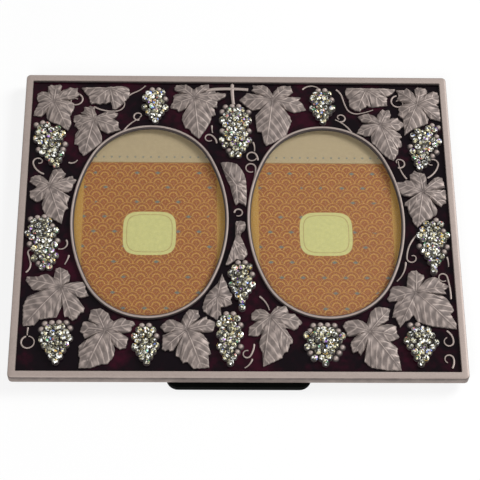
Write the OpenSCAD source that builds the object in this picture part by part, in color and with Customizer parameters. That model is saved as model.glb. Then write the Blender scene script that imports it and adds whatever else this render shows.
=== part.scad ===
// Double photo frame of cast metal with enamel, vine leaves and stone-set grape bunches.
// It lies on its back as it is stored: X to the right, Y to the frame's top, Z out of the front.

/* [Frame] */
// Width of the frame
frame_w = 175; // [168:1:190]
// Height of the frame
frame_h = 138; // [132:1:150]
// Width of the plain rim round the front
rim_w = 2.9; // [2.2:0.1:3.6]
// Radius of the rim's outer corners
rim_corner_r = 1.7; // [1:0.1:2]
// Bevel on the rim's outer edges
rim_bevel = 0.5; // [0.2:0.1:0.8]
// Depth of the enamel field below the rim
field_drop = 1.5; // [1:0.1:2.2]
// Thickness of the cast plate behind the enamel
plate_t = 0.9; // [0.8:0.1:1.4]
// Thickness of the poured enamel
enamel_t = 0.4; // [0.2:0.1:0.6]

/* [Windows] */
// Width of the field at the sides, from the rim to the collars
border_w = 17.5; // [17:0.1:20]
// Height of the field above and below, from the rim to the collars
border_h = 21.5; // [21:0.1:25]
// Roundness of an oval's top and bottom, as a share of half its width
sight_end_share = 0.8686; // [0.8:0.01:0.9]
// Width of the raised collar round each window
collar_w = 1.9; // [1.7:0.1:2.3]
// Height of the collar above the rim
collar_rise = 0.1; // [0:0.1:0.6]
// Width of the lip under the collar that holds the glass
lip_w = 0.7; // [0.5:0.1:0.8]
// Space between the two collars
window_gap = 6.4; // [5:0.1:9]
// Height of the windows' centres above the middle of the frame
window_rise = 0.3; // [0:0.1:1]
// Thickness of the glass
glass_t = 1.5; // [1.2:0.1:1.6]
// Clearance round the glass
glass_clear = 0.15; // [0.1:0.05:0.3]

/* [Photo cards] */
// How far a photo card reaches past the sight opening at its sides
card_lap_w = 1.7; // [1:0.1:2.4]
// How far a photo card reaches past the sight opening at its top and bottom
card_lap_h = 1.75; // [1:0.05:2.4]
// Thickness of a photo card
card_t = 0.3; // [0.2:0.1:0.5]

/* [Back] */
// Width of the margin at the sides of the pocket that takes the back board
back_margin_w = 8.5; // [7.5:0.5:10]
// Height of the margin above and below the pocket
back_margin_h = 11; // [10:0.5:12]
// Radius of the pocket's corners
pocket_corner_r = 3; // [2:0.5:6]
// Thickness of the back board
board_t = 1.4; // [1.2:0.1:1.8]
// Clearance round the back board
board_clear = 0.3; // [0.2:0.1:0.5]
// Clearance of the glass, card and board in the thickness
stack_clear = 0.05; // [0.02:0.01:0.1]

/* [Turn buttons] */
// Length of a turn button
button_l = 15; // [12:0.5:18]
// Width of a turn button
button_w = 6; // [5:0.5:7]
// Thickness of a turn button
button_t = 0.5; // [0.4:0.1:0.7]
// Distance of the upper buttons from the frame's sides
button_top_in = 35.5; // [28:0.5:40]
// Distance of the lower buttons from the frame's sides
button_low_in = 27.5; // [22:0.5:36]
// Radius of the rivet that a button turns on
rivet_r = 1; // [0.8:0.1:1.2]
// Radius of the rivet's head
rivet_head_r = 2.1; // [1.8:0.1:2.4]
// Thickness of the rivet's head
rivet_head_t = 0.5; // [0.4:0.1:0.7]
// Depth of the rivet in the casting
rivet_depth = 1.8; // [1.2:0.1:2]
// Running clearance of a turn button on its rivet
button_clear = 0.06; // [0.04:0.01:0.09]

/* [Easel leg] */
// Width of the leg at the hinge
leg_top_w = 27; // [24:1:32]
// Width of the leg's foot
leg_foot_w = 57; // [50:1:62]
// Thickness of the leg
leg_t = 2.6; // [2.4:0.1:3]
// Space between the folded leg and the back board
leg_gap = 0.3; // [0.3:0.1:0.6]
// Length of the leg that shows below the frame
foot_overhang = 1.6; // [0.5:0.1:4]
// Radius of the foot's corners
foot_corner_r = 4.5; // [2:0.5:7]
// Distance of the hinge pin from the frame's top
hinge_in = 53; // [47:1:61]
// Angle that the leg swings out to before its stop
leg_open = 35; // [25:1:45]

/* [Hinge] */
// Length of the hinge across the leg
hinge_l = 22; // [20:1:24]
// Thickness of the hinge leaves
hinge_t = 0.5; // [0.4:0.1:0.6]
// Length of the leaf on the board
board_leaf_h = 13; // [11:1:16]
// Length of the leaf on the leg
leg_leaf_h = 14; // [12:1:18]
// Outer radius of the knuckles
knuckle_r = 1.2; // [1.1:0.05:1.25]
// Radius of the hinge pin
pin_r = 0.6; // [0.5:0.05:0.7]
// Running clearance of the pin in the leg's knuckle
pin_clear = 0.05; // [0.03:0.01:0.08]
// Space between neighbouring knuckles
knuckle_gap = 0.3; // [0.2:0.1:0.5]
// Radius of the small rivets in the hinge leaves
stud_r = 0.8; // [0.6:0.1:1]

/* [Vine] */
// Length of a middling leaf, as a share of the field's width at the sides
leaf_share = 0.8; // [0.7:0.01:0.82]
// Height of a leaf's crown above the enamel
leaf_crown = 2.1; // [1.4:0.1:2.6]
// Height of a leaf's edge above the enamel
leaf_edge = 0.8; // [0.4:0.1:1.2]
// Width of a tendril
tendril_w = 0.8; // [0.6:0.1:1]
// Height of a tendril above the enamel
tendril_h = 0.6; // [0.3:0.1:1]
// Radius of a middling tendril curl
curl_r = 2; // [1.6:0.1:2.2]
// Width of the woody stem
stem_w = 1.6; // [1.2:0.1:2]
// Height of the stem above the enamel
stem_h = 1; // [0.6:0.1:1.4]

/* [Grapes] */
// Length of a middling bunch, as a share of the field's height above and below
bunch_share = 1.1163; // [1:0.01:1.15]
// Radius of a grape
grape_r = 1.2; // [1:0.05:1.25]
// Distance from grape to grape
grape_pitch = 2.7; // [2.6:0.1:3.2]
// Height of the highest grape seats above the enamel
grape_h = 1.9; // [1.4:0.1:2.4]
// Height of a bunch's ground above the enamel
bunch_ground_h = 0.3; // [0.2:0.1:0.5]
// Radius of a set stone
stone_r = 1.08; // [0.8:0.02:1.14]
// Height of a set stone
stone_h = 0.75; // [0.5:0.05:1]

/* [Hidden] */
$fn = 48;
overrun = 1;
root_depth = 0.3;

// Levels, from the face that the frame lies on to the front
back_z = leg_t + leg_gap;
plate_z = back_z + board_t + card_t + stack_clear;
plate_top_z = plate_z + plate_t;
enamel_top_z = plate_top_z + enamel_t;
rim_top_z = enamel_top_z + field_drop;
edge_t = rim_top_z - back_z;
lip_z = plate_z + glass_t + stack_clear;
collar_top_z = rim_top_z + collar_rise;

// The origin is under the middle of the whole outline, the leg's foot included
centre_y = foot_overhang / 2;
half_w = frame_w / 2;
half_h = frame_h / 2;
field_w = frame_w - 2 * rim_w;
field_h = frame_h - 2 * rim_w;
rim_band = 0.9 * rim_corner_r;

// Oval windows, as large as the borders and the gap leave them: two flat arcs and two round
// ones that meet without a corner
sight_w = (field_w - 2 * border_w - window_gap) / 2 - 2 * collar_w;
sight_h = field_h - 2 * border_h - 2 * collar_w;
sight_end_r = sight_end_share * sight_w / 2;
sight_a = sight_w / 2;
sight_b = sight_h / 2;
side_r = (sight_a * sight_a + sight_b * sight_b - 2 * sight_b * sight_end_r)
    / (2 * (sight_a - sight_end_r));
side_off = side_r - sight_a;
end_off = sight_b - sight_end_r;
oval_angle = atan2(end_off, side_off);
window_x = window_gap / 2 + collar_w + sight_a;
oval_steps = 18;
card_w = sight_w + 2 * card_lap_w;
card_h = sight_h + 2 * card_lap_h;
pocket_w = frame_w - 2 * back_margin_w;
pocket_h = frame_h - 2 * back_margin_h;

// Turn buttons sit on the margin between the pocket and the frame's edge
button_y = half_h - back_margin_h / 2;
button_top_x = half_w - button_top_in;
button_low_x = half_w - button_low_in;
button_reach = button_l - button_w / 2;
button_places = [
    [-button_top_x, button_y, -90],
    [button_top_x, button_y, -90],
    [-button_low_x, -button_y, 90],
    [button_low_x, -button_y, 90]
];

// Hinge: the pin lies across the leg's top
hinge_y = half_h - hinge_in;
pin_z = back_z - knuckle_r - leg_gap / 2;
knuckle_l = (hinge_l - 2 * knuckle_gap) / 3;
knuckle_room = knuckle_r + 0.5 * knuckle_r;
leg_leaf_z = leg_t - hinge_t;
stop_drop = knuckle_r / 2;
stop_rise = back_z - hinge_t - pin_z - knuckle_gap / 10;
stop_reach = (stop_rise + stop_drop * cos(leg_open)) / sin(leg_open);
stop_t = knuckle_r - stop_drop;
stud_inset = 2.5 * stud_r;

// The vine's lengths, and how far its places are spread: near the rim they keep their distance
// from it, near the middle lines they keep their distance from those
leaf_len = leaf_share * border_w;
bunch_len = bunch_share * border_h;
spread_w = 5 * border_w;
spread_h = 3.2093 * border_h;
middle_share = 0.25;
edge_share = 0.7;

// Grapes keep this far from the rim and the collars, and the ground reaches past the grapes
grape_gap = (grape_pitch - 2 * grape_r) / 3;
ground_margin = grape_r / 3;

// Stones: the shares of a stone's radius and height at its flat top and its girdle
table_share = 0.5;
girdle_share = 0.35;

// Leaves: place as shares of the half width and half height, then the corners of the outline
// from the stalk, in squares of which a middling leaf is leaf_squares long
leaf_shares = [
    [-0.864, 0.807, [[7.3, 0], [5.5, 1], [8, 1.8], [10.5, 3.8], [9.3, 5.6], [9.6, 7.2], [7.3, 7],
        [6.4, 7.7], [2.4, 5.4], [2.9, 8.3], [1.6, 8.9], [-0.2, 8.4], [-1.6, 8.7], [-2.9, 8],
        [-2.8, 5], [-5.2, 5.4], [-7, 4.5], [-7.2, 1.3], [-6.2, 0.1], [-7.9, -4.4], [-8.2, -6.3],
        [-5, -7.1], [-3, -4.8], [-2.7, -7.6], [-1.3, -9.4], [3, -11.2], [4.4, -12.6],
        [6.2, -13.7], [7.6, -10.5], [6.8, -6.9], [8.4, -3], [8.4, -0.9]]],
    [-0.602, 0.900, [[7.7, 1.1], [6.3, 1.6], [4.5, 1.9], [2.7, 1.4], [-0.2, 1.4], [-3, 0.9],
        [-11.8, 0.9], [-10.2, -1.6], [-8.7, -3.4], [-8.2, -5.6], [-7.7, -7], [-5.5, -6.6],
        [-4.1, -7.3], [-3, -6.6], [-1.2, -6.8], [0.2, -5.9], [0.9, -7.3], [1.3, -9.3],
        [2.2, -9.7], [3.4, -9], [5, -7.3], [6.3, -5.6], [7.9, -3.4], [8.2, -1.3]]],
    [-0.672, 0.678, [[7.6, 0.8], [9.2, 2], [9.8, 3.6], [8.4, 4], [7.5, 4.7], [5.3, 4.5],
        [1.2, 2.4], [0.1, 4.9], [0, 6.6], [-1.7, 7.4], [-2.5, 6.8], [-4.5, 6.6], [-4.1, 5.2],
        [-5.6, 4], [-4.3, 2.9], [-6.3, 2.9], [-8.4, 2.4], [-8.5, -0.4], [-7.7, -0.9],
        [-7.9, -2.3], [-6.1, -4.3], [-7.5, -6.6], [-7.7, -11.4], [-6.1, -11.6], [-5.6, -14.4],
        [-3.6, -16.9], [-1.1, -14.8], [1, -13], [3.5, -10.5], [3.5, -8], [2.3, -4.2], [4.6, -5.5],
        [5.9, -6.2], [9.2, -5], [11, -4.6], [10, -3], [10.1, -0.9], [9.1, 0.2]]],
    [-0.864, 0.216, [[9.5, 1.3], [10.8, 3.3], [9.5, 4.1], [9.1, 5.2], [7.4, 4.7], [4.4, 3],
        [5.6, 4.5], [6.3, 6.3], [5, 7.7], [4.5, 8.8], [1.1, 8.1], [0, 4.9], [-0.5, 2.7],
        [-2.3, 4.5], [-4.1, 5.6], [-5.9, 5.4], [-7.6, 4.5], [-8, 2.4], [-4.8, 0], [-7.8, -1.9],
        [-7.6, -4.8], [-4.8, -6.9], [-3.4, -6.4], [-1.8, -5.1], [-2.6, -8], [-2.3, -10.1],
        [-0.1, -14.1], [1.6, -14.4], [5.6, -16.8], [6.6, -10.9], [7.9, -9.8], [7.4, -7.6],
        [8.4, -4.4], [5.2, -2.5], [7.7, -2.3], [9.1, -0.9]]],
    [-0.787, -0.444, [[9.4, 1.4], [8.3, 2.5], [6.4, 2.8], [1.3, 1.1], [3, 2.8], [3.3, 5.3],
        [2.1, 7.6], [-0.9, 9.1], [-2.5, 8.5], [-3.1, 4.4], [-5.8, 6.2], [-7.2, 6], [-9, 5],
        [-13.4, 5], [-14, 3.5], [-10.9, -0.8], [-7.2, -1.1], [-12.9, -3.6], [-14.3, -7.5],
        [-14, -16.3], [-9.7, -16.1], [-7.9, -13.6], [-1.1, -12.5], [0.9, -7.2], [1.8, -12.4],
        [3.2, -12.4], [4.8, -14], [6.4, -13.3], [7.8, -10.8], [9.1, -10.4], [9.4, -8.6],
        [5.9, -3.6], [8, -4.3], [10.7, -3.4], [9.4, -0.4]]],
    [-0.586, -0.714, [[10.2, 1.8], [11.6, 2.9], [10.6, 4.3], [8.1, 4.9], [6.6, 5.9], [3.2, 4.3],
        [1.8, 5.6], [1.3, 7.5], [-1.9, 9.9], [-5.7, 9.3], [-6, 7.4], [-6.6, 5.2], [-4.6, 3.3],
        [-6.6, 4.3], [-8.5, 4.1], [-9.6, 0], [-8.4, -0.9], [-7.8, -3], [-3.7, -1.9], [-8.2, -4.5],
        [-9.8, -6.2], [-9.8, -9.8], [-9.2, -11.2], [-9.6, -15.3], [-4.8, -15.3], [-0.9, -13.7],
        [1.3, -13.7], [3.6, -10.5], [4, -7.6], [3.4, -5.7], [5.9, -7.6], [8.2, -6.9], [9, -2.8],
        [7.4, -1.6], [5.9, -0.7], [8.4, -0.5], [10, -0.1]]],
    [-0.229, -0.710, [[10.7, 1.6], [11.4, 3.2], [10.1, 4.5], [8, 5.2], [7.6, 6.6], [3.2, 3.8],
        [5.1, 6.3], [4.6, 7.4], [4.4, 9], [0.9, 9.3], [-0.9, 7], [-2.4, 3.4], [-5.2, 4.9],
        [-7.4, 4.7], [-10.2, 1.8], [-8.4, -0.5], [-6.3, -0.7], [-9.1, -1.9], [-9.3, -7.6],
        [-8.1, -8.5], [-7, -7.8], [-6.3, -8.5], [-5.2, -8.4], [-2.9, -5.1], [-4, -8.2],
        [-4.1, -10.5], [-2.7, -10.9], [-1.3, -13.4], [0.5, -13], [2.6, -15.7], [8.7, -15.3],
        [8.4, -10.1], [9.4, -9.4], [8.4, -6.2], [8.7, -4.8], [6.6, -1.6], [5.1, -0.5], [8, -0.5],
        [10.1, -0.1]]],
    [-0.093, -0.499, [[5.9, 0.8], [4.6, 2.9], [3.9, 4.4], [3.6, 6.1], [2.7, 7.6], [1.8, 10.4],
        [0.3, 6.5], [-1.1, 4.7], [-2.9, 2.9], [-4.5, 0.8], [-5.4, -2.1], [-5.9, -4.6], [-5.4, -6],
        [-3.6, -7.4], [0, -9.8], [0.5, -8.1], [1.4, -7.8], [1.2, -4.3], [3.6, -3.9], [5.7, -2.8],
        [5, -1]]],
    [-0.203, 0.841, [[13, 0.9], [13.2, 2.5], [9.1, 2.9], [8.5, 3.8], [4, 3], [6.3, 4.9], [6, 7.2],
        [3, 6.6], [-0.4, 4.7], [-3.2, 7], [-7.5, 6.8], [-8.2, 5.6], [-8.2, 4.3], [-5, 2.6],
        [-7.2, 2.4], [-8.8, 1.6], [-8.4, 0.6], [-8.8, -1.9], [-10, -3.9], [-9.3, -4.8],
        [-7.4, -5.1], [-6.3, -6.4], [-2.7, -4.4], [-4.6, -7.9], [-5, -10.1], [-3.6, -14.4],
        [-2, -14.8], [-0.9, -16.9], [2.1, -19.6], [5.1, -14.8], [6.9, -10.9], [7.3, -8.5],
        [8.9, -8], [8.4, -5.5], [7.6, -4.4], [9.4, -4.4], [9.6, -1.2], [11.2, -0.1]]],
    [0.169, 0.829, [[10.9, 0.4], [11.8, 2], [6.3, 2.2], [8.6, 4.5], [7.9, 6.3], [7.7, 7.6],
        [4.5, 7.6], [2.4, 7], [-0.1, 3.6], [-1.9, 6.6], [-3.4, 7.7], [-8.4, 7.5], [-7.8, 6.3],
        [-8.7, 5], [-5.3, 2.4], [-10.9, 3.6], [-11.4, 2.4], [-13.9, 0.2], [-10.1, -3.7],
        [-8.4, -4.8], [-4.4, -3.9], [-7.3, -7.6], [-6.9, -13.4], [-6.4, -15.3], [-4.8, -15.3],
        [-4, -20], [-3, -21.9], [0.2, -20.4], [5.4, -17], [5.9, -15.1], [7.7, -9.8], [7, -7.6],
        [4.7, -3.9], [8.8, -5.7], [13.8, -4.4], [12.4, -1.2]]],
    [-0.019, 0.297, [[5, -1.8], [4.5, 0.7], [3.7, 2.5], [2.8, 4.1], [1.8, 5.5], [0.5, 6.3],
        [-1.6, 6.7], [-3.8, 6.8], [-5.2, 6.5], [-4.5, 4.3], [-3.8, 2.1], [-3.2, 0], [-2.4, -2.3],
        [-1.3, -4.6], [-0.9, -7.1], [-0.2, -9.6], [0.3, -12.1], [0.9, -13.5], [2.1, -12.2],
        [3.8, -12.9], [4.9, -13.9], [5.2, -11.7], [5.3, -7.1], [5.2, -4.6]]],
    [0.000, -0.087, [[3.7, -9.4], [3.5, -7.7], [2.9, -6.2], [2, -4.2], [1.1, -2.2], [1, -0.9],
        [1.4, 0.6], [2.4, 1.3], [3, 2.7], [3.1, 4.5], [2.4, 5.6], [1, 5.9], [-0.6, 5.6],
        [-1.1, 4.7], [-1.1, 2.7], [-1.1, 0.6], [-1.1, -1.6], [-1.7, -3.7], [-2.4, -5.9],
        [-3.3, -9.1], [-4.2, -11.9], [-4.9, -14], [-3.8, -14.1], [-2.2, -12.8], [-0.8, -11.6],
        [2.1, -11.8], [2.8, -10.5]]],
    [0.138, -0.625, [[12.5, -2.1], [9.6, 1.6], [7.4, 1.7], [6.6, 4.5], [5.9, 5.4], [4.8, 4.7],
        [3, 4.9], [1.8, 4], [0.1, 1.3], [-1.8, 3.3], [-3.8, 3.8], [-5.6, 3.3], [-7.2, 1.6],
        [-7.2, -0.9], [-4.9, -1.6], [-8.1, -4.1], [-8.4, -7.5], [-5, -8], [-3.1, -6.6],
        [-4.3, -10.7], [-4.1, -12.6], [-3.1, -14.8], [-2.9, -20.7], [1.4, -18.6], [4.4, -17],
        [5, -15], [6.6, -14.4], [7.5, -11.2], [8.6, -10.7], [8.5, -9.1], [5.8, -4.4], [7.6, -4.6],
        [8.9, -5.3], [10.3, -4.8], [11.2, -3.4]]],
    [0.575, -0.714, [[11.5, -1.9], [10.6, -0.5], [10.4, 2.7], [9.1, 3.6], [7.4, 3.6], [4.7, 3.1],
        [7.6, 5.4], [7.9, 8.1], [8.6, 10], [7.4, 10.6], [3.8, 11.1], [2.4, 10.4], [0.8, 8.8],
        [-0.9, 3.8], [-3.4, 5.2], [-5.1, 5.5], [-9.1, 4.5], [-10.3, 2.7], [-8.9, 0], [-8.9, -1.2],
        [-8, -1.8], [-5, -1.2], [-7.3, -4.1], [-7.6, -5.1], [-6.8, -8.7], [-4.8, -8],
        [-3.9, -9.8], [-1.7, -6.4], [-2.3, -10.3], [-2.5, -12.3], [-1.2, -13.7], [0.2, -14.8],
        [5.9, -15.9], [11.5, -15.9], [10.8, -10.1], [10.2, -8.4], [10.6, -6.8], [9.9, -5.7],
        [7.4, -4.1], [9.9, -3]]],
    [0.789, -0.470, [[12.1, -0.1], [11.2, 1.3], [13.4, 3.4], [10.1, 5.2], [9.4, 6.6], [8, 7.4],
        [6.2, 7.3], [4.8, 6.5], [2.7, 4.4], [3.9, 7.2], [3.5, 8.4], [2.3, 8.6], [0.9, 10.3],
        [-1.3, 9.9], [-2.5, 8.6], [-3.1, 4.9], [-3.2, 3.1], [-7.4, 3.4], [-9, 2.9], [-9.9, 1.6],
        [-10, -0.1], [-11.3, -2.5], [-10.2, -3.5], [-7, -3.2], [-8.4, -5], [-9.7, -10.3],
        [-8.4, -10.4], [-6.8, -14.6], [-4.5, -11.8], [-3.3, -11.6], [-1.4, -9.3], [0.1, -12.3],
        [1.6, -12.6], [4.8, -14], [8, -14.4], [15, -15.3], [15, -13], [13, -8.7], [14.4, -7.6],
        [14.1, -5.9], [12.3, -2.3], [10.9, -1.2], [5.9, -0.5]]],
    [0.853, 0.193, [[9.5, 0.2], [9.3, 1.3], [5.9, 1.5], [9.1, 2.5], [9, 4.1], [8.3, 7.2],
        [6.6, 7.6], [4.9, 6.8], [1.9, 3.7], [1.8, 7.4], [1.1, 9], [-1.9, 9.7], [-2.8, 10.5],
        [-3.5, 9.3], [-4.8, 8.3], [-4.7, 5.4], [-6.4, 5.8], [-7.3, 4.9], [-10.5, 4.7],
        [-10.1, 2.7], [-9.6, 0.2], [-7.8, -1.4], [-5.5, -1.9], [-3, -1.6], [-7.5, -4.8],
        [-7.8, -5.9], [-6.6, -6.4], [-6, -9.8], [-5.1, -11.6], [-4.8, -13.7], [-3, -16],
        [-1.2, -14.4], [0.2, -13], [2.4, -12.3], [3.4, -11], [5, -10], [5.4, -8], [4.7, -6.2],
        [2.7, -3.3], [7.2, -6.6], [7.7, -5.3], [9.1, -4.8], [9.3, -3]]],
    [0.674, 0.655, [[10.1, 0.4], [9.3, 1.8], [8, 2.7], [7.6, 3.8], [5.9, 4.2], [3.9, 3.3],
        [4.7, 5.2], [4.1, 8.1], [2.6, 7.5], [1.2, 8.1], [-0.8, 5.6], [-1.3, 3.8], [-2.4, 5],
        [-4.5, 5.9], [-5.9, 5.8], [-9.1, 4.5], [-7.5, 2], [-3.4, 0.6], [-7.5, 0.5], [-9, -1.9],
        [-10, -3.9], [-8.1, -4.3], [-6.3, -5.1], [-4.5, -4.9], [-3.8, -4.3], [-4.1, -5.9],
        [-3.8, -8.4], [-2.7, -9.4], [-0.2, -13], [3, -15.9], [4.8, -16.6], [6.8, -13],
        [6.9, -10.5], [8.4, -10], [8.4, -8], [7.6, -6.2], [8.7, -5.4], [8, -3.9], [5.7, -2.3],
        [7.4, -2.3], [8.4, -1.2]]],
    [0.853, 0.804, [[8.3, 0.4], [9.5, 1.5], [9.6, 4.7], [9.1, 6.3], [7.4, 7], [5.9, 6.5],
        [4.7, 5.6], [4.9, 7.4], [4, 8.4], [1.1, 9.1], [-0.4, 8.1], [-0.4, 4.9], [-2.3, 7.7],
        [-3.7, 8.6], [-5.1, 7.4], [-8.4, 7.6], [-7.6, 6.3], [-7.3, 4.9], [-8, 2.9], [-6.6, 2],
        [-4.6, 1.1], [-5.9, 0.3], [-7.8, -1.9], [-7.3, -3], [-8, -4.8], [-6.9, -5.7], [-6, -6.6],
        [-6, -9], [-5.7, -12.3], [-5.9, -14.8], [-2.3, -11.9], [-1.2, -11.6], [1.6, -10.1],
        [4.1, -8.9], [4.5, -6.9], [3.4, -4.5], [5.4, -6.5], [8.1, -7.3], [9.5, -7.6], [9.6, -5.9],
        [9.5, -3], [9.1, -0.5]]],
    [0.614, 0.903, [[11.6, -0.5], [12.5, 1.1], [9.8, 1.4], [6.2, 1.4], [3, 1.4], [0.1, 1.4],
        [-3, 1.4], [-8.1, 1.5], [-8.7, -0.5], [-8.3, -2.3], [-7.2, -4.1], [-7.2, -6.2],
        [-7, -7.6], [-5.2, -9.3], [-2.7, -10], [-1.8, -8.7], [-0.2, -8], [0.1, -6.9], [0.9, -7.5],
        [2.3, -7.8], [5.1, -7.6], [8.7, -7], [8.6, -5.1], [8.9, -3.4], [8.5, -2.5], [10.1, -1.9]]]
];
leaf_squares = 14;

// A leaf's inner ring, and how high it stands for the outline's reach in that direction
crown_ring_share = 0.58;
crown_reach_share = 1.3;
crown_start_share = 0.1;

// Tendrils: start as shares of the half width and half height, heading in degrees, then
// arcs as radius, a share of a middling curl, and turn in degrees, left turns positive
tendril_shares = [
    [-0.757, 0.875, -10, [[1.4, -190], [0.8, -200]]],
    [-0.674, 0.781, -32, [[7, 40], [1.8, 110]]],
    [-0.531, 0.841, 50, [[6, -25], [6, 25]]],
    [-0.533, 0.610, 62, [[7, -37]]],
    [-0.462, 0.690, 195, [[0.85, -230], [0.5, -120]]],
    [-0.096, 0.530, 95, [[2.6, 50], [0.8, 250]]],
    [-0.119, 0.652, -92, [[8, 12]]],
    [-0.894, 0.309, 160, [[3.6, -55], [1.0, -150], [0.55, -150]]],
    [-0.781, 0.388, -25, [[1.3, 85]]],
    [0.313, 0.917, 50, [[2.4, -85]]],
    [0.474, 0.916, -38, [[3.2, -40], [20, 8], [2.2, 80], [12, 15]]],
    [0.538, 0.610, 118, [[7, 37]]],
    [0.485, 0.686, -15, [[0.85, 230], [0.5, 120]]],
    [0.760, 0.875, 190, [[1.4, 190], [0.8, 200]]],
    [0.783, 0.290, 128, [[7, -36]]],
    [0.747, 0.367, -20, [[1.0, 220], [0.5, 100]]],
    [0.074, 0.536, -68, [[4, -30]]],
    [0.095, 0.413, 88, [[2.4, 35], [1.0, 300]]],
    [0.072, 0.261, 70, [[9, 22], [1.0, 290]]],
    [0.881, 0.297, 30, [[5, 45], [1.1, 150], [0.6, 150]]],
    [-0.016, 0.055, 90, [[0.8, -290]]],
    [-0.947, -0.342, 40, [[2.2, 60], [10, 12], [0.75, -250]]],
    [-0.775, -0.133, -55, [[1.3, -140]]],
    [-0.760, -0.232, -100, [[6, -20]]],
    [-0.923, -0.690, -98, [[9, 10]]],
    [-0.931, -0.745, 200, [[1.25, 330]]],
    [0.094, -0.490, -38, [[5, -40]]],
    [0.067, -0.787, -92, [[5, -30], [0.75, -250]]],
    [0.058, -0.878, -105, [[3, -45]]],
    [0.814, -0.087, -135, [[8, 42], [0.9, 200], [0.5, 100]]],
    [0.754, -0.267, -92, [[6, -45]]],
    [0.946, -0.500, 88, [[20, 14], [0.85, 290]]],
    [0.942, -0.232, -75, [[6, -20]]],
    [0.917, -0.701, -35, [[2.6, -60], [0.9, -240]]],
    [0.929, -0.928, 60, [[3, 40], [0.85, 230]]]
];
stem_shares = [
    [-0.146, 0.899, 20, [[8, -16], [40, -9]]],
    [-0.022, 0.945, -92, [[30, 9]]]
];

// Grape bunches: centre as shares of the half width and half height, width and length as
// shares of a middling bunch's length, then the tilt in degrees
bunch_shares = [
    [-0.387, 0.791, 0.50, 0.75, 0],
    [-0.867, 0.514, 0.60, 1.00, 14],
    [-0.877, -0.148, 0.61, 1.04, 8],
    [-0.799, -0.781, 0.59, 0.79, 3],
    [-0.407, -0.790, 0.50, 0.75, 2],
    [-0.008, 0.617, 0.62, 1.08, 0],
    [0.015, -0.420, 0.47, 0.92, 0],
    [-0.039, -0.752, 0.50, 0.96, 0],
    [0.375, -0.787, 0.67, 0.77, 0],
    [0.799, -0.787, 0.58, 0.79, -3],
    [0.885, -0.162, 0.53, 1.08, -2],
    [0.875, 0.513, 0.58, 1.00, -14],
    [0.403, 0.794, 0.51, 0.75, 0]
];

// Outlines

function mix(a, b, share) = a + (b - a) * share;

function turned(p, angle) =
    [p[0] * cos(angle) - p[1] * sin(angle), p[0] * sin(angle) + p[1] * cos(angle)];

// Points of a rectangle with round corners, centred
function round_box_points(w, h, r) = [
    for (corner = [0:3]) for (step = [0:6])
        let (
            angle = 90 * corner + 15 * step,
            sx = (corner == 0 || corner == 3) ? 1 : -1,
            sy = corner < 2 ? 1 : -1
        )
        [sx * (w / 2 - r) + r * cos(angle), sy * (h / 2 - r) + r * sin(angle)]
];

// A leaf's outline as directions, rising from that of its first corner, and lengths as shares
function leaf_polar(corners) =
    let (first = atan2(corners[0][1], corners[0][0]))
    [
        for (p = corners)
            let (angle = atan2(p[1], p[0]))
            [angle < first ? angle + 360 : angle, norm(p) / leaf_squares]
    ];

leaf_polars = [for (leaf = leaf_shares) leaf_polar(leaf[2])];

function leaf_points(i, share) = [for (p = leaf_shares[i][2]) share * leaf_len / leaf_squares * p];

// One coordinate of a place in the vine
function spread(share, half, reach) =
    let (s = abs(share), side = share < 0 ? -1 : 1, low = middle_share, high = edge_share)
    side * (
        s < low ? s * reach
            : s > high ? half - (1 - s) * reach
                : mix(low * reach, half - (1 - high) * reach, (s - low) / (high - low))
    );

function place(shares) = [
    spread(shares[0], half_w, spread_w), spread(shares[1], half_h, spread_h)
];

// A leaf's reach in one direction, between the points of its outline
function polar_reach(polar, angle) =
    let (
        turn = angle < polar[0][0] ? angle + 360 : angle,
        n = len(polar),
        at = max([for (k = [0:n - 1]) polar[k][0] <= turn ? k : 0]),
        next_a = at == n - 1 ? polar[0][0] + 360 : polar[at + 1][0],
        next_r = polar[(at + 1) % n][1]
    )
    mix(polar[at][1], next_r, (turn - polar[at][0]) / (next_a - polar[at][0]));

function clear_of_leaf(p, i) =
    let (
        d = p - place(leaf_shares[i]),
        reach = leaf_len * max([for (q = leaf_polars[i]) q[1]]) + grape_r
    )
    norm(d) > reach
        || norm(d) > leaf_len * polar_reach(leaf_polars[i], atan2(d[1], d[0])) + grape_r;

// How far a point lies outside the edge of an oval window's sight opening
function outside_oval(dx, dy) =
    atan2(dy, dx + side_off) < oval_angle
        ? norm([dx + side_off, dy]) - side_r
        : norm([dx, dy - end_off]) - sight_end_r;

function clear_of_window(p, side) =
    outside_oval(abs(p[0] - side * window_x), abs(p[1] - window_rise))
        > collar_w + grape_r + grape_gap;

function clear_of_rim(p) =
    abs(p[0]) < field_w / 2 - grape_r - grape_gap
        && abs(p[1]) < field_h / 2 - grape_r - grape_gap;

function spot_is_clear(p) =
    clear_of_rim(p) && clear_of_window(p, -1) && clear_of_window(p, 1)
        && len([for (i = [0:len(leaf_shares) - 1]) if (!clear_of_leaf(p, i)) i]) == 0;

// A bunch is widest a little below its top and runs to a point
function bunch_half_share(t) = pow(sin(36 + 134 * t), 0.7);

row_step = grape_pitch * sqrt(3) / 2;

function bunch_rows(bunch) = round((bunch_len * bunch[3] - 2 * grape_r) / row_step);

function row_half(bunch, t) = bunch_len * bunch[2] / 2 * bunch_half_share(t) - grape_r;

// As many grapes as a row takes, odd and even rows in turn
function row_count(bunch, row, t) =
    let (fit = floor(2 * max(0, row_half(bunch, t)) / grape_pitch + 1.35))
    max(1, fit - (fit + row) % 2);

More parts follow.
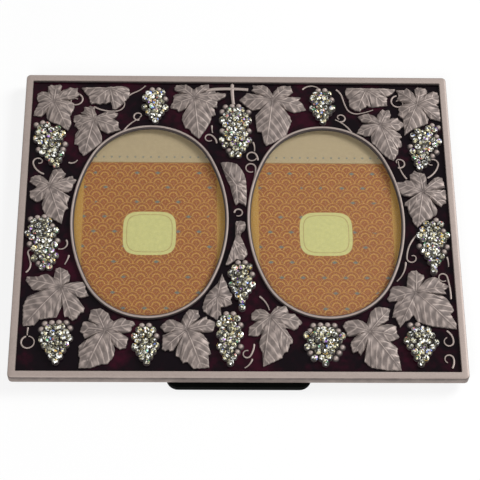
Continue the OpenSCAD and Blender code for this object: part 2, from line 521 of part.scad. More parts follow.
// The grapes of a bunch: centre, height of the seat, and whether a stone is set on it
function bunch_spots(bunch) = [
    for (row = [0:bunch_rows(bunch)])
        let (t = row / bunch_rows(bunch), n = row_count(bunch, row, t))
        for (k = [0:n - 1])
            let (
                across = (k - (n - 1) / 2) * grape_pitch,
                along = (bunch_len * bunch[3] - 2 * grape_r) * (0.5 - t),
                p = place(bunch) + turned([across, along], bunch[4]),
                edge = min(1, abs(across) / (row_half(bunch, t) + grape_r)),
                plain = row == 0 || (edge > 0.6 && (row + k) % 4 == 1)
            )
            if (spot_is_clear(p))
                [p, enamel_top_z + grape_h * (1 - 0.5 * edge * edge - 0.3 * abs(t - 0.4)), plain]
];

bunch_grapes = [for (bunch = bunch_shares) bunch_spots(bunch)];

// Sweeps and solids

module centred() {
    translate([0, centre_y, 0]) children();
}

module at_place(shares, z) {
    translate(concat(place(shares), z)) children();
}

// A profile swept round a rectangle's rounded corners and sides, x to the outside
module swept_round_box(w, h, r) {
    for (corner = [0:3])
        translate([
            ((corner == 0 || corner == 3) ? 1 : -1) * (w / 2 - r),
            (corner < 2 ? 1 : -1) * (h / 2 - r), 0
        ])
            rotate_extrude(angle = 90, start = 90 * corner) translate([r, 0]) children();
    for (side = [-1, 1]) {
        translate([side * (w / 2), side * (h / 2 - r), 0])
            rotate([90, 0, side < 0 ? 180 : 0])
            linear_extrude(h - 2 * r) children();
        translate([-side * (w / 2 - r), side * (h / 2), 0])
            rotate([90, 0, side < 0 ? -90 : 90])
            linear_extrude(w - 2 * r) children();
    }
}

// Points along one arc of an oval, its last one left to the next arc
function arc_points(hub, r, from, to) = [
    for (k = [0:oval_steps - 1])
        let (angle = mix(from, to, k / oval_steps))
        hub + [r * cos(angle), r * sin(angle)]
];

// Outline of an oval, as large as the sight opening and grown by grow
function oval_points(grow) = concat(
    arc_points([-side_off, 0], side_r + grow, -oval_angle, oval_angle),
    arc_points([0, end_off], sight_end_r + grow, oval_angle, 180 - oval_angle),
    arc_points([side_off, 0], side_r + grow, 180 - oval_angle, 180 + oval_angle),
    arc_points([0, -end_off], sight_end_r + grow, 180 + oval_angle, 360 - oval_angle)
);

module oval_block(grow, h) {
    linear_extrude(h) polygon(oval_points(grow));
}

// Section of a collar: the glass seat inside, upright walls and a round bead on top
collar_section =
    let (r = collar_w / 2, rise = collar_top_z - r)
    concat(
        [[lip_w, plate_z], [collar_w, plate_z]],
        [for (angle = [0:36:180]) [r + r * cos(angle), rise + r * sin(angle)]],
        [[0, lip_z], [lip_w, lip_z]]
    );

// A collar: its section carried round the oval
module collar() {
    n = 4 * oval_steps;
    m = len(collar_section);
    points = [
        for (q = collar_section) for (p = oval_points(q[0])) [p[0], p[1], q[1]]
    ];
    faces = [
        for (j = [0:m - 1]) for (k = [0:n - 1])
            let (
                a = j * n + k, b = j * n + (k + 1) % n,
                c = (j + 1) % m * n + k, d = (j + 1) % m * n + (k + 1) % n
            )
            each [[a, d, b], [a, c, d]]
    ];
    polyhedron(points, faces);
}

module at_windows() {
    for (side = [-1, 1]) translate([side * window_x, window_rise, 0]) children();
}

// Points and headings along arcs laid end to end, the first point left out
function arc_way(p, heading, arcs, i = 0) =
    i == len(arcs) ? [] :
    let (
        r = curl_r * arcs[i][0],
        turn = arcs[i][1],
        side = turn > 0 ? 1 : -1,
        steps = max(2, round(abs(turn) / 24)),
        hub = p + turned([0, side * r], heading),
        way = [
            for (k = [1:steps])
                let (a = turn * k / steps)
                concat(hub + turned([0, -side * r], heading + a), heading + a)
        ],
        last = way[steps - 1]
    )
    concat(way, arc_way([last[0], last[1]], last[2], arcs, i + 1));

// A strip of even width along the way, drawn in to half its width at its free end
module strip(shares, w, bottom_z, top_z) {
    start = place(shares);
    way = concat([concat(start, shares[2])], arc_way(start, shares[2], shares[3]));
    n = len(way);
    sides = [
        for (side = [1, -1]) [
            for (k = [0:n - 1])
                let (taper = k == n - 1 ? 0.5 : 1)
                [way[k][0], way[k][1]] + turned([0, side * taper * w / 2], way[k][2])
        ]
    ];
    translate([0, 0, bottom_z]) linear_extrude(top_z - bottom_z)
        polygon(concat(sides[1], [for (k = [n - 1:-1:0]) sides[0][k]]));
}

// Tendrils and woody stems, standing in the plate
module tendrils(rise) {
    for (t = tendril_shares)
        strip(t, tendril_w, plate_top_z - root_depth, enamel_top_z + rise * tendril_h);
    for (t = stem_shares)
        strip(t, stem_w, plate_top_z - root_depth, enamel_top_z + rise * stem_h);
}

// A leaf: upright edge, crowned lobes and a low middle where the stalk joins
module leaf(i) {
    n = len(leaf_polars[i]);
    root = plate_top_z - root_depth;
    edge_z = enamel_top_z + leaf_edge;
    ring_z = enamel_top_z + leaf_crown;
    points = concat(
        [for (p = leaf_points(i, 1)) [p[0], p[1], root]],
        [for (p = leaf_points(i, 1)) [p[0], p[1], edge_z]],
        [
            for (k = [0:n - 1])
                let (
                    p = leaf_points(i, crown_ring_share)[k],
                    rise = crown_reach_share * leaf_polars[i][k][1] - crown_start_share
                )
                [p[0], p[1], mix(edge_z, ring_z, max(0, min(1, rise)))]
        ],
        [[0, 0, mix(edge_z, ring_z, 0.5)], [0, 0, root]]
    );
    faces = concat(
        [for (k = [0:n - 1]) for (ring = [0, 1])
            let (a = ring * n + k, b = ring * n + (k + 1) % n) [a, a + n, b]],
        [for (k = [0:n - 1]) for (ring = [0, 1])
            let (a = ring * n + k, b = ring * n + (k + 1) % n) [b, a + n, b + n]],
        [for (k = [0:n - 1]) [2 * n + k, 3 * n, 2 * n + (k + 1) % n]],
        [for (k = [0:n - 1]) [k, (k + 1) % n, 3 * n + 1]]
    );
    at_place(leaf_shares[i], 0) polyhedron(points, faces);
}

// The upright block under a leaf, as large as the leaf's outline
module leaf_footing(i) {
    at_place(leaf_shares[i], plate_top_z - overrun)
        linear_extrude(enamel_t + 2 * overrun) polygon(leaf_points(i, 1));
}

// The ground that a bunch's grapes stand on
module bunch_ground(i, bottom_z, top_z) {
    bunch = bunch_shares[i];
    half = bunch_len * bunch[3] / 2 + ground_margin;
    side = [for (t = [0:0.125:1]) [
        bunch_len * bunch[2] / 2 * bunch_half_share(t) + ground_margin, half * (1 - 2 * t)
    ]];
    at_place(bunch, bottom_z) rotate([0, 0, bunch[4]])
        linear_extrude(top_z - bottom_z)
        polygon(concat(side, [for (k = [8:-1:0]) [-side[k][0], side[k][1]]]));
}

// Grapes: a cup with a flat seat under each stone, a plain ball elsewhere
module grapes(i) {
    for (spot = bunch_grapes[i])
        translate([spot[0][0], spot[0][1], plate_top_z - root_depth]) {
            rise = spot[1] - plate_top_z + root_depth;
            if (spot[2]) {
                hub = max(root_depth, rise - grape_r);
                rotate_extrude() polygon(concat(
                    [[0, 0], [grape_r, 0]],
                    [for (angle = [0:18:90]) [grape_r * cos(angle), hub + grape_r * sin(angle)]]
                ));
            } else {
                cylinder(h = rise, r = grape_r);
            }
        }
}

// The rim and the plate, with the pocket and the rivet holes at the back
module plate_and_rim() {
    difference() {
        union() {
            translate([0, 0, back_z]) swept_round_box(frame_w, frame_h, rim_corner_r)
                polygon([
                    [-rim_band, 0], [-rim_bevel, 0], [0, rim_bevel], [0, edge_t - rim_bevel],
                    [-rim_bevel, edge_t], [-rim_band, edge_t]
                ]);
            difference() {
                translate([-half_w + rim_band, -half_h + rim_band, back_z])
                    cube([frame_w - 2 * rim_band, frame_h - 2 * rim_band, edge_t]);
                translate([-field_w / 2, -field_h / 2, plate_top_z])
                    cube([field_w, field_h, edge_t]);
            }
        }
        at_windows() translate([0, 0, back_z - overrun])
            oval_block((lip_w + collar_w) / 2, edge_t + 2 * overrun);
        translate([0, 0, back_z - overrun])
            linear_extrude(plate_z - back_z + overrun)
            polygon(round_box_points(pocket_w, pocket_h, pocket_corner_r));
        for (b = button_places) translate([b[0], b[1], back_z - overrun])
            cylinder(h = rivet_depth + overrun, r = rivet_r);
    }
    at_windows() collar();
}

// The vine on the plate: tendrils, stems, leaves trimmed at the windows, and bunches
module relief() {
    tendrils(1);
    difference() {
        for (i = [0:len(leaf_shares) - 1]) leaf(i);
        at_windows() oval_block(lip_w, enamel_top_z + leaf_crown + overrun);
    }
    for (i = [0:len(bunch_shares) - 1]) {
        bunch_ground(i, plate_top_z - root_depth, enamel_top_z + bunch_ground_h);
        grapes(i);
    }
}

// The frame's metal front, all one casting
module frame_casting() color([0.66, 0.60, 0.56]) centred() {
    plate_and_rim();
    relief();
}

// Enamel poured on the plate round the collars, leaves, bunches and tendrils
module enamel_field() color([0.13, 0.04, 0.09]) centred() difference() {
    translate([-field_w / 2, -field_h / 2, plate_top_z]) cube([field_w, field_h, enamel_t]);
    at_windows() translate([0, 0, plate_top_z - overrun])
        oval_block(collar_w, enamel_t + 2 * overrun);
    tendrils(1);
    for (i = [0:len(leaf_shares) - 1]) leaf_footing(i);
    for (i = [0:len(bunch_shares) - 1])
        bunch_ground(i, plate_top_z - overrun, enamel_top_z + overrun);
}

// Flat-backed stones of one bunch, each on its grape's seat
module crystals(i) color([0.88, 0.90, 0.82]) centred()
    for (spot = bunch_grapes[i]) if (!spot[2])
        translate([spot[0][0], spot[0][1], spot[1]])
            rotate_extrude() polygon([
                [0, 0], [stone_r, 0], [stone_r, stone_h * girdle_share],
                [stone_r * table_share, stone_h], [0, stone_h]
            ]);

module glass(side) color([0.85, 0.92, 0.90, 0.4]) centred()
    translate([side * window_x, window_rise, plate_z]) oval_block(lip_w - glass_clear, glass_t);

module photo_card(side) color([0.80, 0.55, 0.30]) centred()
    translate([side * window_x - card_w / 2, window_rise - card_h / 2, back_z + board_t])
        cube([card_w, card_h, card_t]);

// Flocked board in the pocket, with holes for the hinge's rivets
module back_board() color([0.05, 0.05, 0.06]) centred() difference() {
    translate([0, 0, back_z]) linear_extrude(board_t)
        polygon(round_box_points(
            pocket_w - 2 * board_clear, pocket_h - 2 * board_clear, pocket_corner_r
        ));
    for (p = board_leaf_studs()) translate([p[0], p[1], back_z - overrun])
        cylinder(h = board_t + 2 * overrun, r = stud_r);
}

module button_rivets() color([0.75, 0.66, 0.40]) centred()
    for (b = button_places) translate([b[0], b[1], back_z - button_t - rivet_head_t]) {
        cylinder(h = rivet_head_t, r = rivet_head_r);
        cylinder(h = rivet_head_t + button_t + rivet_depth, r = rivet_r);
    }

// A turn button: a flat tab with round ends that holds the board's edge
module turn_button(place) color([0.78, 0.70, 0.45]) centred()
    translate([place[0], place[1], back_z - button_t]) rotate([0, 0, place[2]]) difference() {
        union() {
            cylinder(h = button_t, r = button_w / 2);
            translate([0, -button_w / 2, 0])
                cube([button_reach - button_w / 2, button_w, button_t]);
            translate([button_reach - button_w / 2, 0, 0])
                cylinder(h = button_t, r = button_w / 2);
        }
        translate([0, 0, -overrun])
            cylinder(h = button_t + 2 * overrun, r = rivet_r + button_clear);
    }

// Rivet places of the two hinge leaves
function board_leaf_studs() = [
    for (sx = [-1, 1]) for (up = [stud_inset + knuckle_room, board_leaf_h - stud_inset])
        [sx * (hinge_l / 2 - stud_inset), hinge_y + up]
];
function leg_leaf_studs() = [
    for (sx = [-1, 1]) for (down = [stud_inset + knuckle_room, leg_leaf_h - stud_inset])
        [sx * (hinge_l / 2 - stud_inset), hinge_y - down]
];

// A knuckle round the pin, from x0 along X
module knuckle(x0, length) {
    translate([x0, hinge_y, pin_z]) rotate([0, 90, 0]) cylinder(h = length, r = knuckle_r);
}

module pin_bore(clear) {
    translate([-hinge_l / 2 - overrun, hinge_y, pin_z]) rotate([0, 90, 0])
        cylinder(h = hinge_l + 2 * overrun, r = pin_r + clear);
}

// The leaf on the board, with the two outer knuckles
module board_hinge_leaf() color([0.72, 0.70, 0.66]) centred() difference() {
    union() {
        knuckle(-hinge_l / 2, knuckle_l);
        knuckle(hinge_l / 2 - knuckle_l, knuckle_l);
        difference() {
            translate([-hinge_l / 2, hinge_y, back_z - hinge_t])
                cube([hinge_l, board_leaf_h, hinge_t]);
            translate([-knuckle_l / 2 - knuckle_gap, hinge_y - overrun, back_z - hinge_t - overrun])
                cube([
                    knuckle_l + 2 * knuckle_gap, overrun + knuckle_room, hinge_t + 2 * overrun
                ]);
        }
    }
    pin_bore(0);
    for (p = board_leaf_studs()) translate([p[0], p[1], back_z - hinge_t - overrun])
        cylinder(h = hinge_t + 2 * overrun, r = stud_r);
}

module board_leaf_rivets() color([0.75, 0.72, 0.66]) centred()
    for (p = board_leaf_studs()) translate([p[0], p[1], back_z - 2 * hinge_t]) {
        cylinder(h = hinge_t, r = 1.6 * stud_r);
        cylinder(h = 2 * hinge_t + board_t, r = stud_r);
    }

module hinge_pin() color([0.80, 0.80, 0.80]) centred()
    translate([-hinge_l / 2, hinge_y, pin_z]) rotate([0, 90, 0])
        cylinder(h = hinge_l, r = pin_r);

// The leaf on the leg, with the middle knuckle and the finger that stops the leg
module leg_hinge_leaf() color([0.72, 0.70, 0.66]) centred() difference() {
    union() {
        knuckle(-knuckle_l / 2, knuckle_l);
        translate([-knuckle_l / 2, hinge_y, pin_z - knuckle_r])
            cube([knuckle_l, stop_reach, stop_t]);
        difference() {
            translate([-hinge_l / 2, hinge_y - leg_leaf_h, leg_leaf_z])
                cube([hinge_l, leg_leaf_h, hinge_t]);
            for (sx = [-1, 1]) {
                from = sx < 0 ? -hinge_l / 2 - overrun : knuckle_l / 2;
                translate([from, hinge_y - knuckle_room, leg_leaf_z - overrun])
                    cube([
                        knuckle_l + knuckle_gap + overrun, knuckle_room + overrun,
                        hinge_t + 2 * overrun
                    ]);
            }
        }
    }
    pin_bore(pin_clear);
    for (p = leg_leaf_studs()) translate([p[0], p[1], leg_leaf_z - overrun])
        cylinder(h = hinge_t + 2 * overrun, r = stud_r);
}

leg_stud_depth = leg_t / 2;

module leg_leaf_rivets() color([0.75, 0.72, 0.66]) centred()
    for (p = leg_leaf_studs()) translate([p[0], p[1], leg_leaf_z - leg_stud_depth])
        cylinder(h = leg_stud_depth + hinge_t, r = stud_r);

leg_top_y = hinge_y - knuckle_room;
foot_y = -half_h - foot_overhang;

// The leg's outline: straight sides that spread to a foot with round corners
function leg_points() =
    let (
        rise = leg_top_y - foot_y,
        lean = atan2((leg_foot_w - leg_top_w) / 2, rise),
        r = foot_corner_r,
        cx = leg_foot_w / 2 - r * (1 + sin(lean)) / cos(lean),
        right = [for (step = [0:8])
            let (angle = -90 + step * (90 + lean) / 8)
            [cx + r * cos(angle), foot_y + r + r * sin(angle)]
        ]
    )
    concat(
        right, [[leg_top_w / 2, leg_top_y], [-leg_top_w / 2, leg_top_y]],
        [for (k = [8:-1:0]) [-right[k][0], right[k][1]]]
    );

// The flocked leg, with a shallow seat for its hinge leaf
module easel_leg() color([0.05, 0.05, 0.06]) centred() difference() {
    linear_extrude(leg_t) polygon(leg_points());
    translate([-hinge_l / 2, hinge_y - leg_leaf_h, leg_leaf_z])
        cube([hinge_l, leg_leaf_h + overrun, hinge_t + overrun]);
    for (p = leg_leaf_studs()) translate([p[0], p[1], leg_leaf_z - leg_stud_depth])
        cylinder(h = leg_t, r = stud_r);
}

frame_casting();
enamel_field();
crystals(0);  // crystals_1
crystals(1);  // crystals_2
crystals(2);  // crystals_3
crystals(3);  // crystals_4
crystals(4);  // crystals_5
crystals(5);  // crystals_6
crystals(6);  // crystals_7
crystals(7);  // crystals_8
crystals(8);  // crystals_9
crystals(9);  // crystals_10
crystals(10);  // crystals_11
crystals(11);  // crystals_12
crystals(12);  // crystals_13
glass(-1);  // left_glass
glass(1);  // right_glass
photo_card(-1);  // left_photo_card
photo_card(1);  // right_photo_card
back_board();
button_rivets();
turn_button(button_places[0]);  // turn_button_top_left
turn_button(button_places[1]);  // turn_button_top_right
turn_button(button_places[2]);  // turn_button_low_left
turn_button(button_places[3]);  // turn_button_low_right
board_hinge_leaf();
board_leaf_rivets();
hinge_pin();
leg_hinge_leaf();
leg_leaf_rivets();
easel_leg();
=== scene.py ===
"""Looks of the double photo frame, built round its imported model.

An antiqued metal vine on dark plum enamel, stones set in the grapes, two glazed oval windows
with printed cards, and a flocked board and leg behind. Sizes are in millimetres of the model's
own frame and become metres when a mesh is made.
"""

from __future__ import annotations

import logging
import math
import random
from collections.abc import Iterable, Sequence
from dataclasses import dataclass, field
from enum import Enum

import bpy
import numpy as np
from mathutils import Matrix, Vector
from mathutils.geometry import delaunay_2d_cdt

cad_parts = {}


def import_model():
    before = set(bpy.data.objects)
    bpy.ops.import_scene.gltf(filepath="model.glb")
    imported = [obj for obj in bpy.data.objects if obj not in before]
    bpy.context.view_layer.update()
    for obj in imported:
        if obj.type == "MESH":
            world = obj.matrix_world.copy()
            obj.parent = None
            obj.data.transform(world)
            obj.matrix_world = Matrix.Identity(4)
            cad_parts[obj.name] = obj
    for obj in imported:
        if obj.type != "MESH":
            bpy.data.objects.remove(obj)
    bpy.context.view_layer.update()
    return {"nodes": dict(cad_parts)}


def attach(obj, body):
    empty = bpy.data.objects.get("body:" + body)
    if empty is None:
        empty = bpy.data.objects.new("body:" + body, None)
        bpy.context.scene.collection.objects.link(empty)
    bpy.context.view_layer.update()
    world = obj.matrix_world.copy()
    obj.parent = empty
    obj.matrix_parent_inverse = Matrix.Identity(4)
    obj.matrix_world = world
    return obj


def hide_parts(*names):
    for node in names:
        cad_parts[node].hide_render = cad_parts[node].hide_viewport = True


LOG = logging.getLogger("photo_frame")
MM = 0.001
BODY = "frame"

Point = tuple[float, float, float]
Flat = tuple[float, float]
Colour = tuple[float, float, float]
Waypoint = tuple[float, float, float]
Socket = bpy.types.NodeSocket


class Slot(str, Enum):
    """Names of the material slots."""

    METAL = "antique_pewter"
    ENAMEL = "plum_enamel"
    STONE = "crystal"
    GLASS = "window_glass"
    CARD = "photo_card"
    FLOCK = "black_flock"
    STEEL = "nickel_steel"
    BRASS = "brass"


def srgb(red: int, green: int, blue: int) -> Colour:
    """Turn a colour as a screen shows it, 0 to 255, into linear values.

    Args:
        red: The red channel.
        green: The green channel.
        blue: The blue channel.

    Returns:
        The linear colour.
    """
    def line(value: int) -> float:
        """Return one channel as a linear value."""
        share = value / 255
        return share / 12.92 if share <= 0.04045 else ((share + 0.055) / 1.055) ** 2.4

    return line(red), line(green), line(blue)


def mix(low: float, high: float, share: float) -> float:
    """Return the value a share of the way from low to high."""
    return low + (high - low) * share


def held(values: np.ndarray) -> np.ndarray:
    """Return the values held between 0 and 1."""
    return np.clip(values, 0, 1)


def turned(point: Flat, degrees: float) -> Flat:
    """Return a flat point turned about the origin."""
    c, s = math.cos(math.radians(degrees)), math.sin(math.radians(degrees))
    return point[0] * c - point[1] * s, point[0] * s + point[1] * c


# Places of the relief

# Leaves: place as shares of the half width and half height, then the corners of the outline,
# the ends of the main veins, and where these part if that isn't the leaf's place, all in
# squares of which a middling leaf is LEAF_SQUARES long
LEAF_SQUARES = 14
LEAF_SHARES = (
    (-0.864, 0.807, ((7.3, 0), (5.5, 1), (8, 1.8), (10.5, 3.8), (9.3, 5.6), (9.6, 7.2), (7.3, 7),
        (6.4, 7.7), (2.4, 5.4), (2.9, 8.3), (1.6, 8.9), (-0.2, 8.4), (-1.6, 8.7), (-2.9, 8),
        (-2.8, 5), (-5.2, 5.4), (-7, 4.5), (-7.2, 1.3), (-6.2, 0.1), (-7.9, -4.4), (-8.2, -6.3),
        (-5, -7.1), (-3, -4.8), (-2.7, -7.6), (-1.3, -9.4), (3, -11.2), (4.4, -12.6),
        (6.2, -13.7), (7.6, -10.5), (6.8, -6.9), (8.4, -3), (8.4, -0.9)),
        ((10.5, 3.8), (0.8, 8.8), (-6.5, 4.8), (-7.6, -6), (6.2, -13.7), (8.4, -2.4))),
    (-0.602, 0.900, ((7.7, 1.1), (6.3, 1.6), (4.5, 1.9), (2.7, 1.4), (-0.2, 1.4), (-3, 0.9),
        (-11.8, 0.9), (-10.2, -1.6), (-8.7, -3.4), (-8.2, -5.6), (-7.7, -7), (-5.5, -6.6),
        (-4.1, -7.3), (-3, -6.6), (-1.2, -6.8), (0.2, -5.9), (0.9, -7.3), (1.3, -9.3),
        (2.2, -9.7), (3.4, -9), (5, -7.3), (6.3, -5.6), (7.9, -3.4), (8.2, -1.3)),
        ((-11.5, 0.2), (-7.5, -6.5), (2.2, -9.7), (7.6, -3.5), (6.5, 1.4))),
    (-0.672, 0.678, ((7.6, 0.8), (9.2, 2), (9.8, 3.6), (8.4, 4), (7.5, 4.7), (5.3, 4.5),
        (1.2, 2.4), (0.1, 4.9), (0, 6.6), (-1.7, 7.4), (-2.5, 6.8), (-4.5, 6.6), (-4.1, 5.2),
        (-5.6, 4), (-4.3, 2.9), (-6.3, 2.9), (-8.4, 2.4), (-8.5, -0.4), (-7.7, -0.9),
        (-7.9, -2.3), (-6.1, -4.3), (-7.5, -6.6), (-7.7, -11.4), (-6.1, -11.6), (-5.6, -14.4),
        (-3.6, -16.9), (-1.1, -14.8), (1, -13), (3.5, -10.5), (3.5, -8), (2.3, -4.2), (4.6, -5.5),
        (5.9, -6.2), (9.2, -5), (11, -4.6), (10, -3), (10.1, -0.9), (9.1, 0.2)),
        ((-1.5, 7.2), (9.8, 3.6), (10.8, -4), (-3.6, -16.9), (-8.4, 1.2), (-7.4, -3.4))),
    (-0.864, 0.216, ((9.5, 1.3), (10.8, 3.3), (9.5, 4.1), (9.1, 5.2), (7.4, 4.7), (4.4, 3),
        (5.6, 4.5), (6.3, 6.3), (5, 7.7), (4.5, 8.8), (1.1, 8.1), (0, 4.9), (-0.5, 2.7),
        (-2.3, 4.5), (-4.1, 5.6), (-5.9, 5.4), (-7.6, 4.5), (-8, 2.4), (-4.8, 0), (-7.8, -1.9),
        (-7.6, -4.8), (-4.8, -6.9), (-3.4, -6.4), (-1.8, -5.1), (-2.6, -8), (-2.3, -10.1),
        (-0.1, -14.1), (1.6, -14.4), (5.6, -16.8), (6.6, -10.9), (7.9, -9.8), (7.4, -7.6),
        (8.4, -4.4), (5.2, -2.5), (7.7, -2.3), (9.1, -0.9)),
        ((4.2, 8.5), (10.5, 3.4), (5.6, -16.8), (-6.2, -5.6), (-7.6, 3.6), (8.2, -4.6))),
    (-0.787, -0.444, ((9.4, 1.4), (8.3, 2.5), (6.4, 2.8), (1.3, 1.1), (3, 2.8), (3.3, 5.3),
        (2.1, 7.6), (-0.9, 9.1), (-2.5, 8.5), (-3.1, 4.4), (-5.8, 6.2), (-7.2, 6), (-9, 5),
        (-13.4, 5), (-14, 3.5), (-10.9, -0.8), (-7.2, -1.1), (-12.9, -3.6), (-14.3, -7.5),
        (-14, -16.3), (-9.7, -16.1), (-7.9, -13.6), (-1.1, -12.5), (0.9, -7.2), (1.8, -12.4),
        (3.2, -12.4), (4.8, -14), (6.4, -13.3), (7.8, -10.8), (9.1, -10.4), (9.4, -8.6),
        (5.9, -3.6), (8, -4.3), (10.7, -3.4), (9.4, -0.4)),
        ((-0.6, 8.9), (10.2, -3), (5, -14), (-13.8, -16), (-13.8, 3.8))),
    (-0.586, -0.714, ((10.2, 1.8), (11.6, 2.9), (10.6, 4.3), (8.1, 4.9), (6.6, 5.9), (3.2, 4.3),
        (1.8, 5.6), (1.3, 7.5), (-1.9, 9.9), (-5.7, 9.3), (-6, 7.4), (-6.6, 5.2), (-4.6, 3.3),
        (-6.6, 4.3), (-8.5, 4.1), (-9.6, 0), (-8.4, -0.9), (-7.8, -3), (-3.7, -1.9), (-8.2, -4.5),
        (-9.8, -6.2), (-9.8, -9.8), (-9.2, -11.2), (-9.6, -15.3), (-4.8, -15.3), (-0.9, -13.7),
        (1.3, -13.7), (3.6, -10.5), (4, -7.6), (3.4, -5.7), (5.9, -7.6), (8.2, -6.9), (9, -2.8),
        (7.4, -1.6), (5.9, -0.7), (8.4, -0.5), (10, -0.1)),
        ((-4, 9.5), (11, 3.2), (7.8, -6.5), (-6.5, -15), (-9.2, 1.5), (-7.6, -2.8))),
    (-0.229, -0.710, ((10.7, 1.6), (11.4, 3.2), (10.1, 4.5), (8, 5.2), (7.6, 6.6), (3.2, 3.8),
        (5.1, 6.3), (4.6, 7.4), (4.4, 9), (0.9, 9.3), (-0.9, 7), (-2.4, 3.4), (-5.2, 4.9),
        (-7.4, 4.7), (-10.2, 1.8), (-8.4, -0.5), (-6.3, -0.7), (-9.1, -1.9), (-9.3, -7.6),
        (-8.1, -8.5), (-7, -7.8), (-6.3, -8.5), (-5.2, -8.4), (-2.9, -5.1), (-4, -8.2),
        (-4.1, -10.5), (-2.7, -10.9), (-1.3, -13.4), (0.5, -13), (2.6, -15.7), (8.7, -15.3),
        (8.4, -10.1), (9.4, -9.4), (8.4, -6.2), (8.7, -4.8), (6.6, -1.6), (5.1, -0.5), (8, -0.5),
        (10.1, -0.1)),
        ((3.6, 8.6), (11, 3), (5.8, -15.2), (-8.6, -7.6), (-9.8, 1.9))),
    (-0.093, -0.499, ((5.9, 0.8), (4.6, 2.9), (3.9, 4.4), (3.6, 6.1), (2.7, 7.6), (1.8, 10.4),
        (0.3, 6.5), (-1.1, 4.7), (-2.9, 2.9), (-4.5, 0.8), (-5.4, -2.1), (-5.9, -4.6), (-5.4, -6),
        (-3.6, -7.4), (0, -9.8), (0.5, -8.1), (1.4, -7.8), (1.2, -4.3), (3.6, -3.9), (5.7, -2.8),
        (5, -1)),
        ((1.7, 10), (5.4, -2.4), (0, -9.6), (-5.6, -5.2))),
    (-0.203, 0.841, ((13, 0.9), (13.2, 2.5), (9.1, 2.9), (8.5, 3.8), (4, 3), (6.3, 4.9), (6, 7.2),
        (3, 6.6), (-0.4, 4.7), (-3.2, 7), (-7.5, 6.8), (-8.2, 5.6), (-8.2, 4.3), (-5, 2.6),
        (-7.2, 2.4), (-8.8, 1.6), (-8.4, 0.6), (-8.8, -1.9), (-10, -3.9), (-9.3, -4.8),
        (-7.4, -5.1), (-6.3, -6.4), (-2.7, -4.4), (-4.6, -7.9), (-5, -10.1), (-3.6, -14.4),
        (-2, -14.8), (-0.9, -16.9), (2.1, -19.6), (5.1, -14.8), (6.9, -10.9), (7.3, -8.5),
        (8.9, -8), (8.4, -5.5), (7.6, -4.4), (9.4, -4.4), (9.6, -1.2), (11.2, -0.1)),
        ((-6.2, 6.4), (5.4, 6.6), (12.8, 1.8), (2.1, -19.6), (-9.6, -3.9), (9.2, -4))),
    (0.169, 0.829, ((10.9, 0.4), (11.8, 2), (6.3, 2.2), (8.6, 4.5), (7.9, 6.3), (7.7, 7.6),
        (4.5, 7.6), (2.4, 7), (-0.1, 3.6), (-1.9, 6.6), (-3.4, 7.7), (-8.4, 7.5), (-7.8, 6.3),
        (-8.7, 5), (-5.3, 2.4), (-10.9, 3.6), (-11.4, 2.4), (-13.9, 0.2), (-10.1, -3.7),
        (-8.4, -4.8), (-4.4, -3.9), (-7.3, -7.6), (-6.9, -13.4), (-6.4, -15.3), (-4.8, -15.3),
        (-4, -20), (-3, -21.9), (0.2, -20.4), (5.4, -17), (5.9, -15.1), (7.7, -9.8), (7, -7.6),
        (4.7, -3.9), (8.8, -5.7), (13.8, -4.4), (12.4, -1.2)),
        ((-6.5, 7.2), (6.8, 7.2), (13, -3.2), (-3, -21.9), (-13.5, 0.2))),
    (-0.019, 0.297, ((5, -1.8), (4.5, 0.7), (3.7, 2.5), (2.8, 4.1), (1.8, 5.5), (0.5, 6.3),
        (-1.6, 6.7), (-3.8, 6.8), (-5.2, 6.5), (-4.5, 4.3), (-3.8, 2.1), (-3.2, 0), (-2.4, -2.3),
        (-1.3, -4.6), (-0.9, -7.1), (-0.2, -9.6), (0.3, -12.1), (0.9, -13.5), (2.1, -12.2),
        (3.8, -12.9), (4.9, -13.9), (5.2, -11.7), (5.3, -7.1), (5.2, -4.6)),
        ((-6.5, 10.2), (3, -1.1), (0.7, -8.6)), (1, -4.9)),
    (0.000, -0.087, ((3.7, -9.4), (3.5, -7.7), (2.9, -6.2), (2, -4.2), (1.1, -2.2), (1, -0.9),
        (1.4, 0.6), (2.4, 1.3), (3, 2.7), (3.1, 4.5), (2.4, 5.6), (1, 5.9), (-0.6, 5.6),
        (-1.1, 4.7), (-1.1, 2.7), (-1.1, 0.6), (-1.1, -1.6), (-1.7, -3.7), (-2.4, -5.9),
        (-3.3, -9.1), (-4.2, -11.9), (-4.9, -14), (-3.8, -14.1), (-2.2, -12.8), (-0.8, -11.6),
        (2.1, -11.8), (2.8, -10.5)),
        ((3.1, 9.1), (-3.5, -10.7), (3.2, -8), (5.2, -4.4)), (-2.1, -3.5)),
    (0.138, -0.625, ((12.5, -2.1), (9.6, 1.6), (7.4, 1.7), (6.6, 4.5), (5.9, 5.4), (4.8, 4.7),
        (3, 4.9), (1.8, 4), (0.1, 1.3), (-1.8, 3.3), (-3.8, 3.8), (-5.6, 3.3), (-7.2, 1.6),
        (-7.2, -0.9), (-4.9, -1.6), (-8.1, -4.1), (-8.4, -7.5), (-5, -8), (-3.1, -6.6),
        (-4.3, -10.7), (-4.1, -12.6), (-3.1, -14.8), (-2.9, -20.7), (1.4, -18.6), (4.4, -17),
        (5, -15), (6.6, -14.4), (7.5, -11.2), (8.6, -10.7), (8.5, -9.1), (5.8, -4.4), (7.6, -4.6),
        (8.9, -5.3), (10.3, -4.8), (11.2, -3.4)),
        ((12.1, -2), (5.7, 5), (-6.8, 1.4), (-8.2, -7.3), (-2.8, -20), (8.3, -10.4))),
    (0.575, -0.714, ((11.5, -1.9), (10.6, -0.5), (10.4, 2.7), (9.1, 3.6), (7.4, 3.6), (4.7, 3.1),
        (7.6, 5.4), (7.9, 8.1), (8.6, 10), (7.4, 10.6), (3.8, 11.1), (2.4, 10.4), (0.8, 8.8),
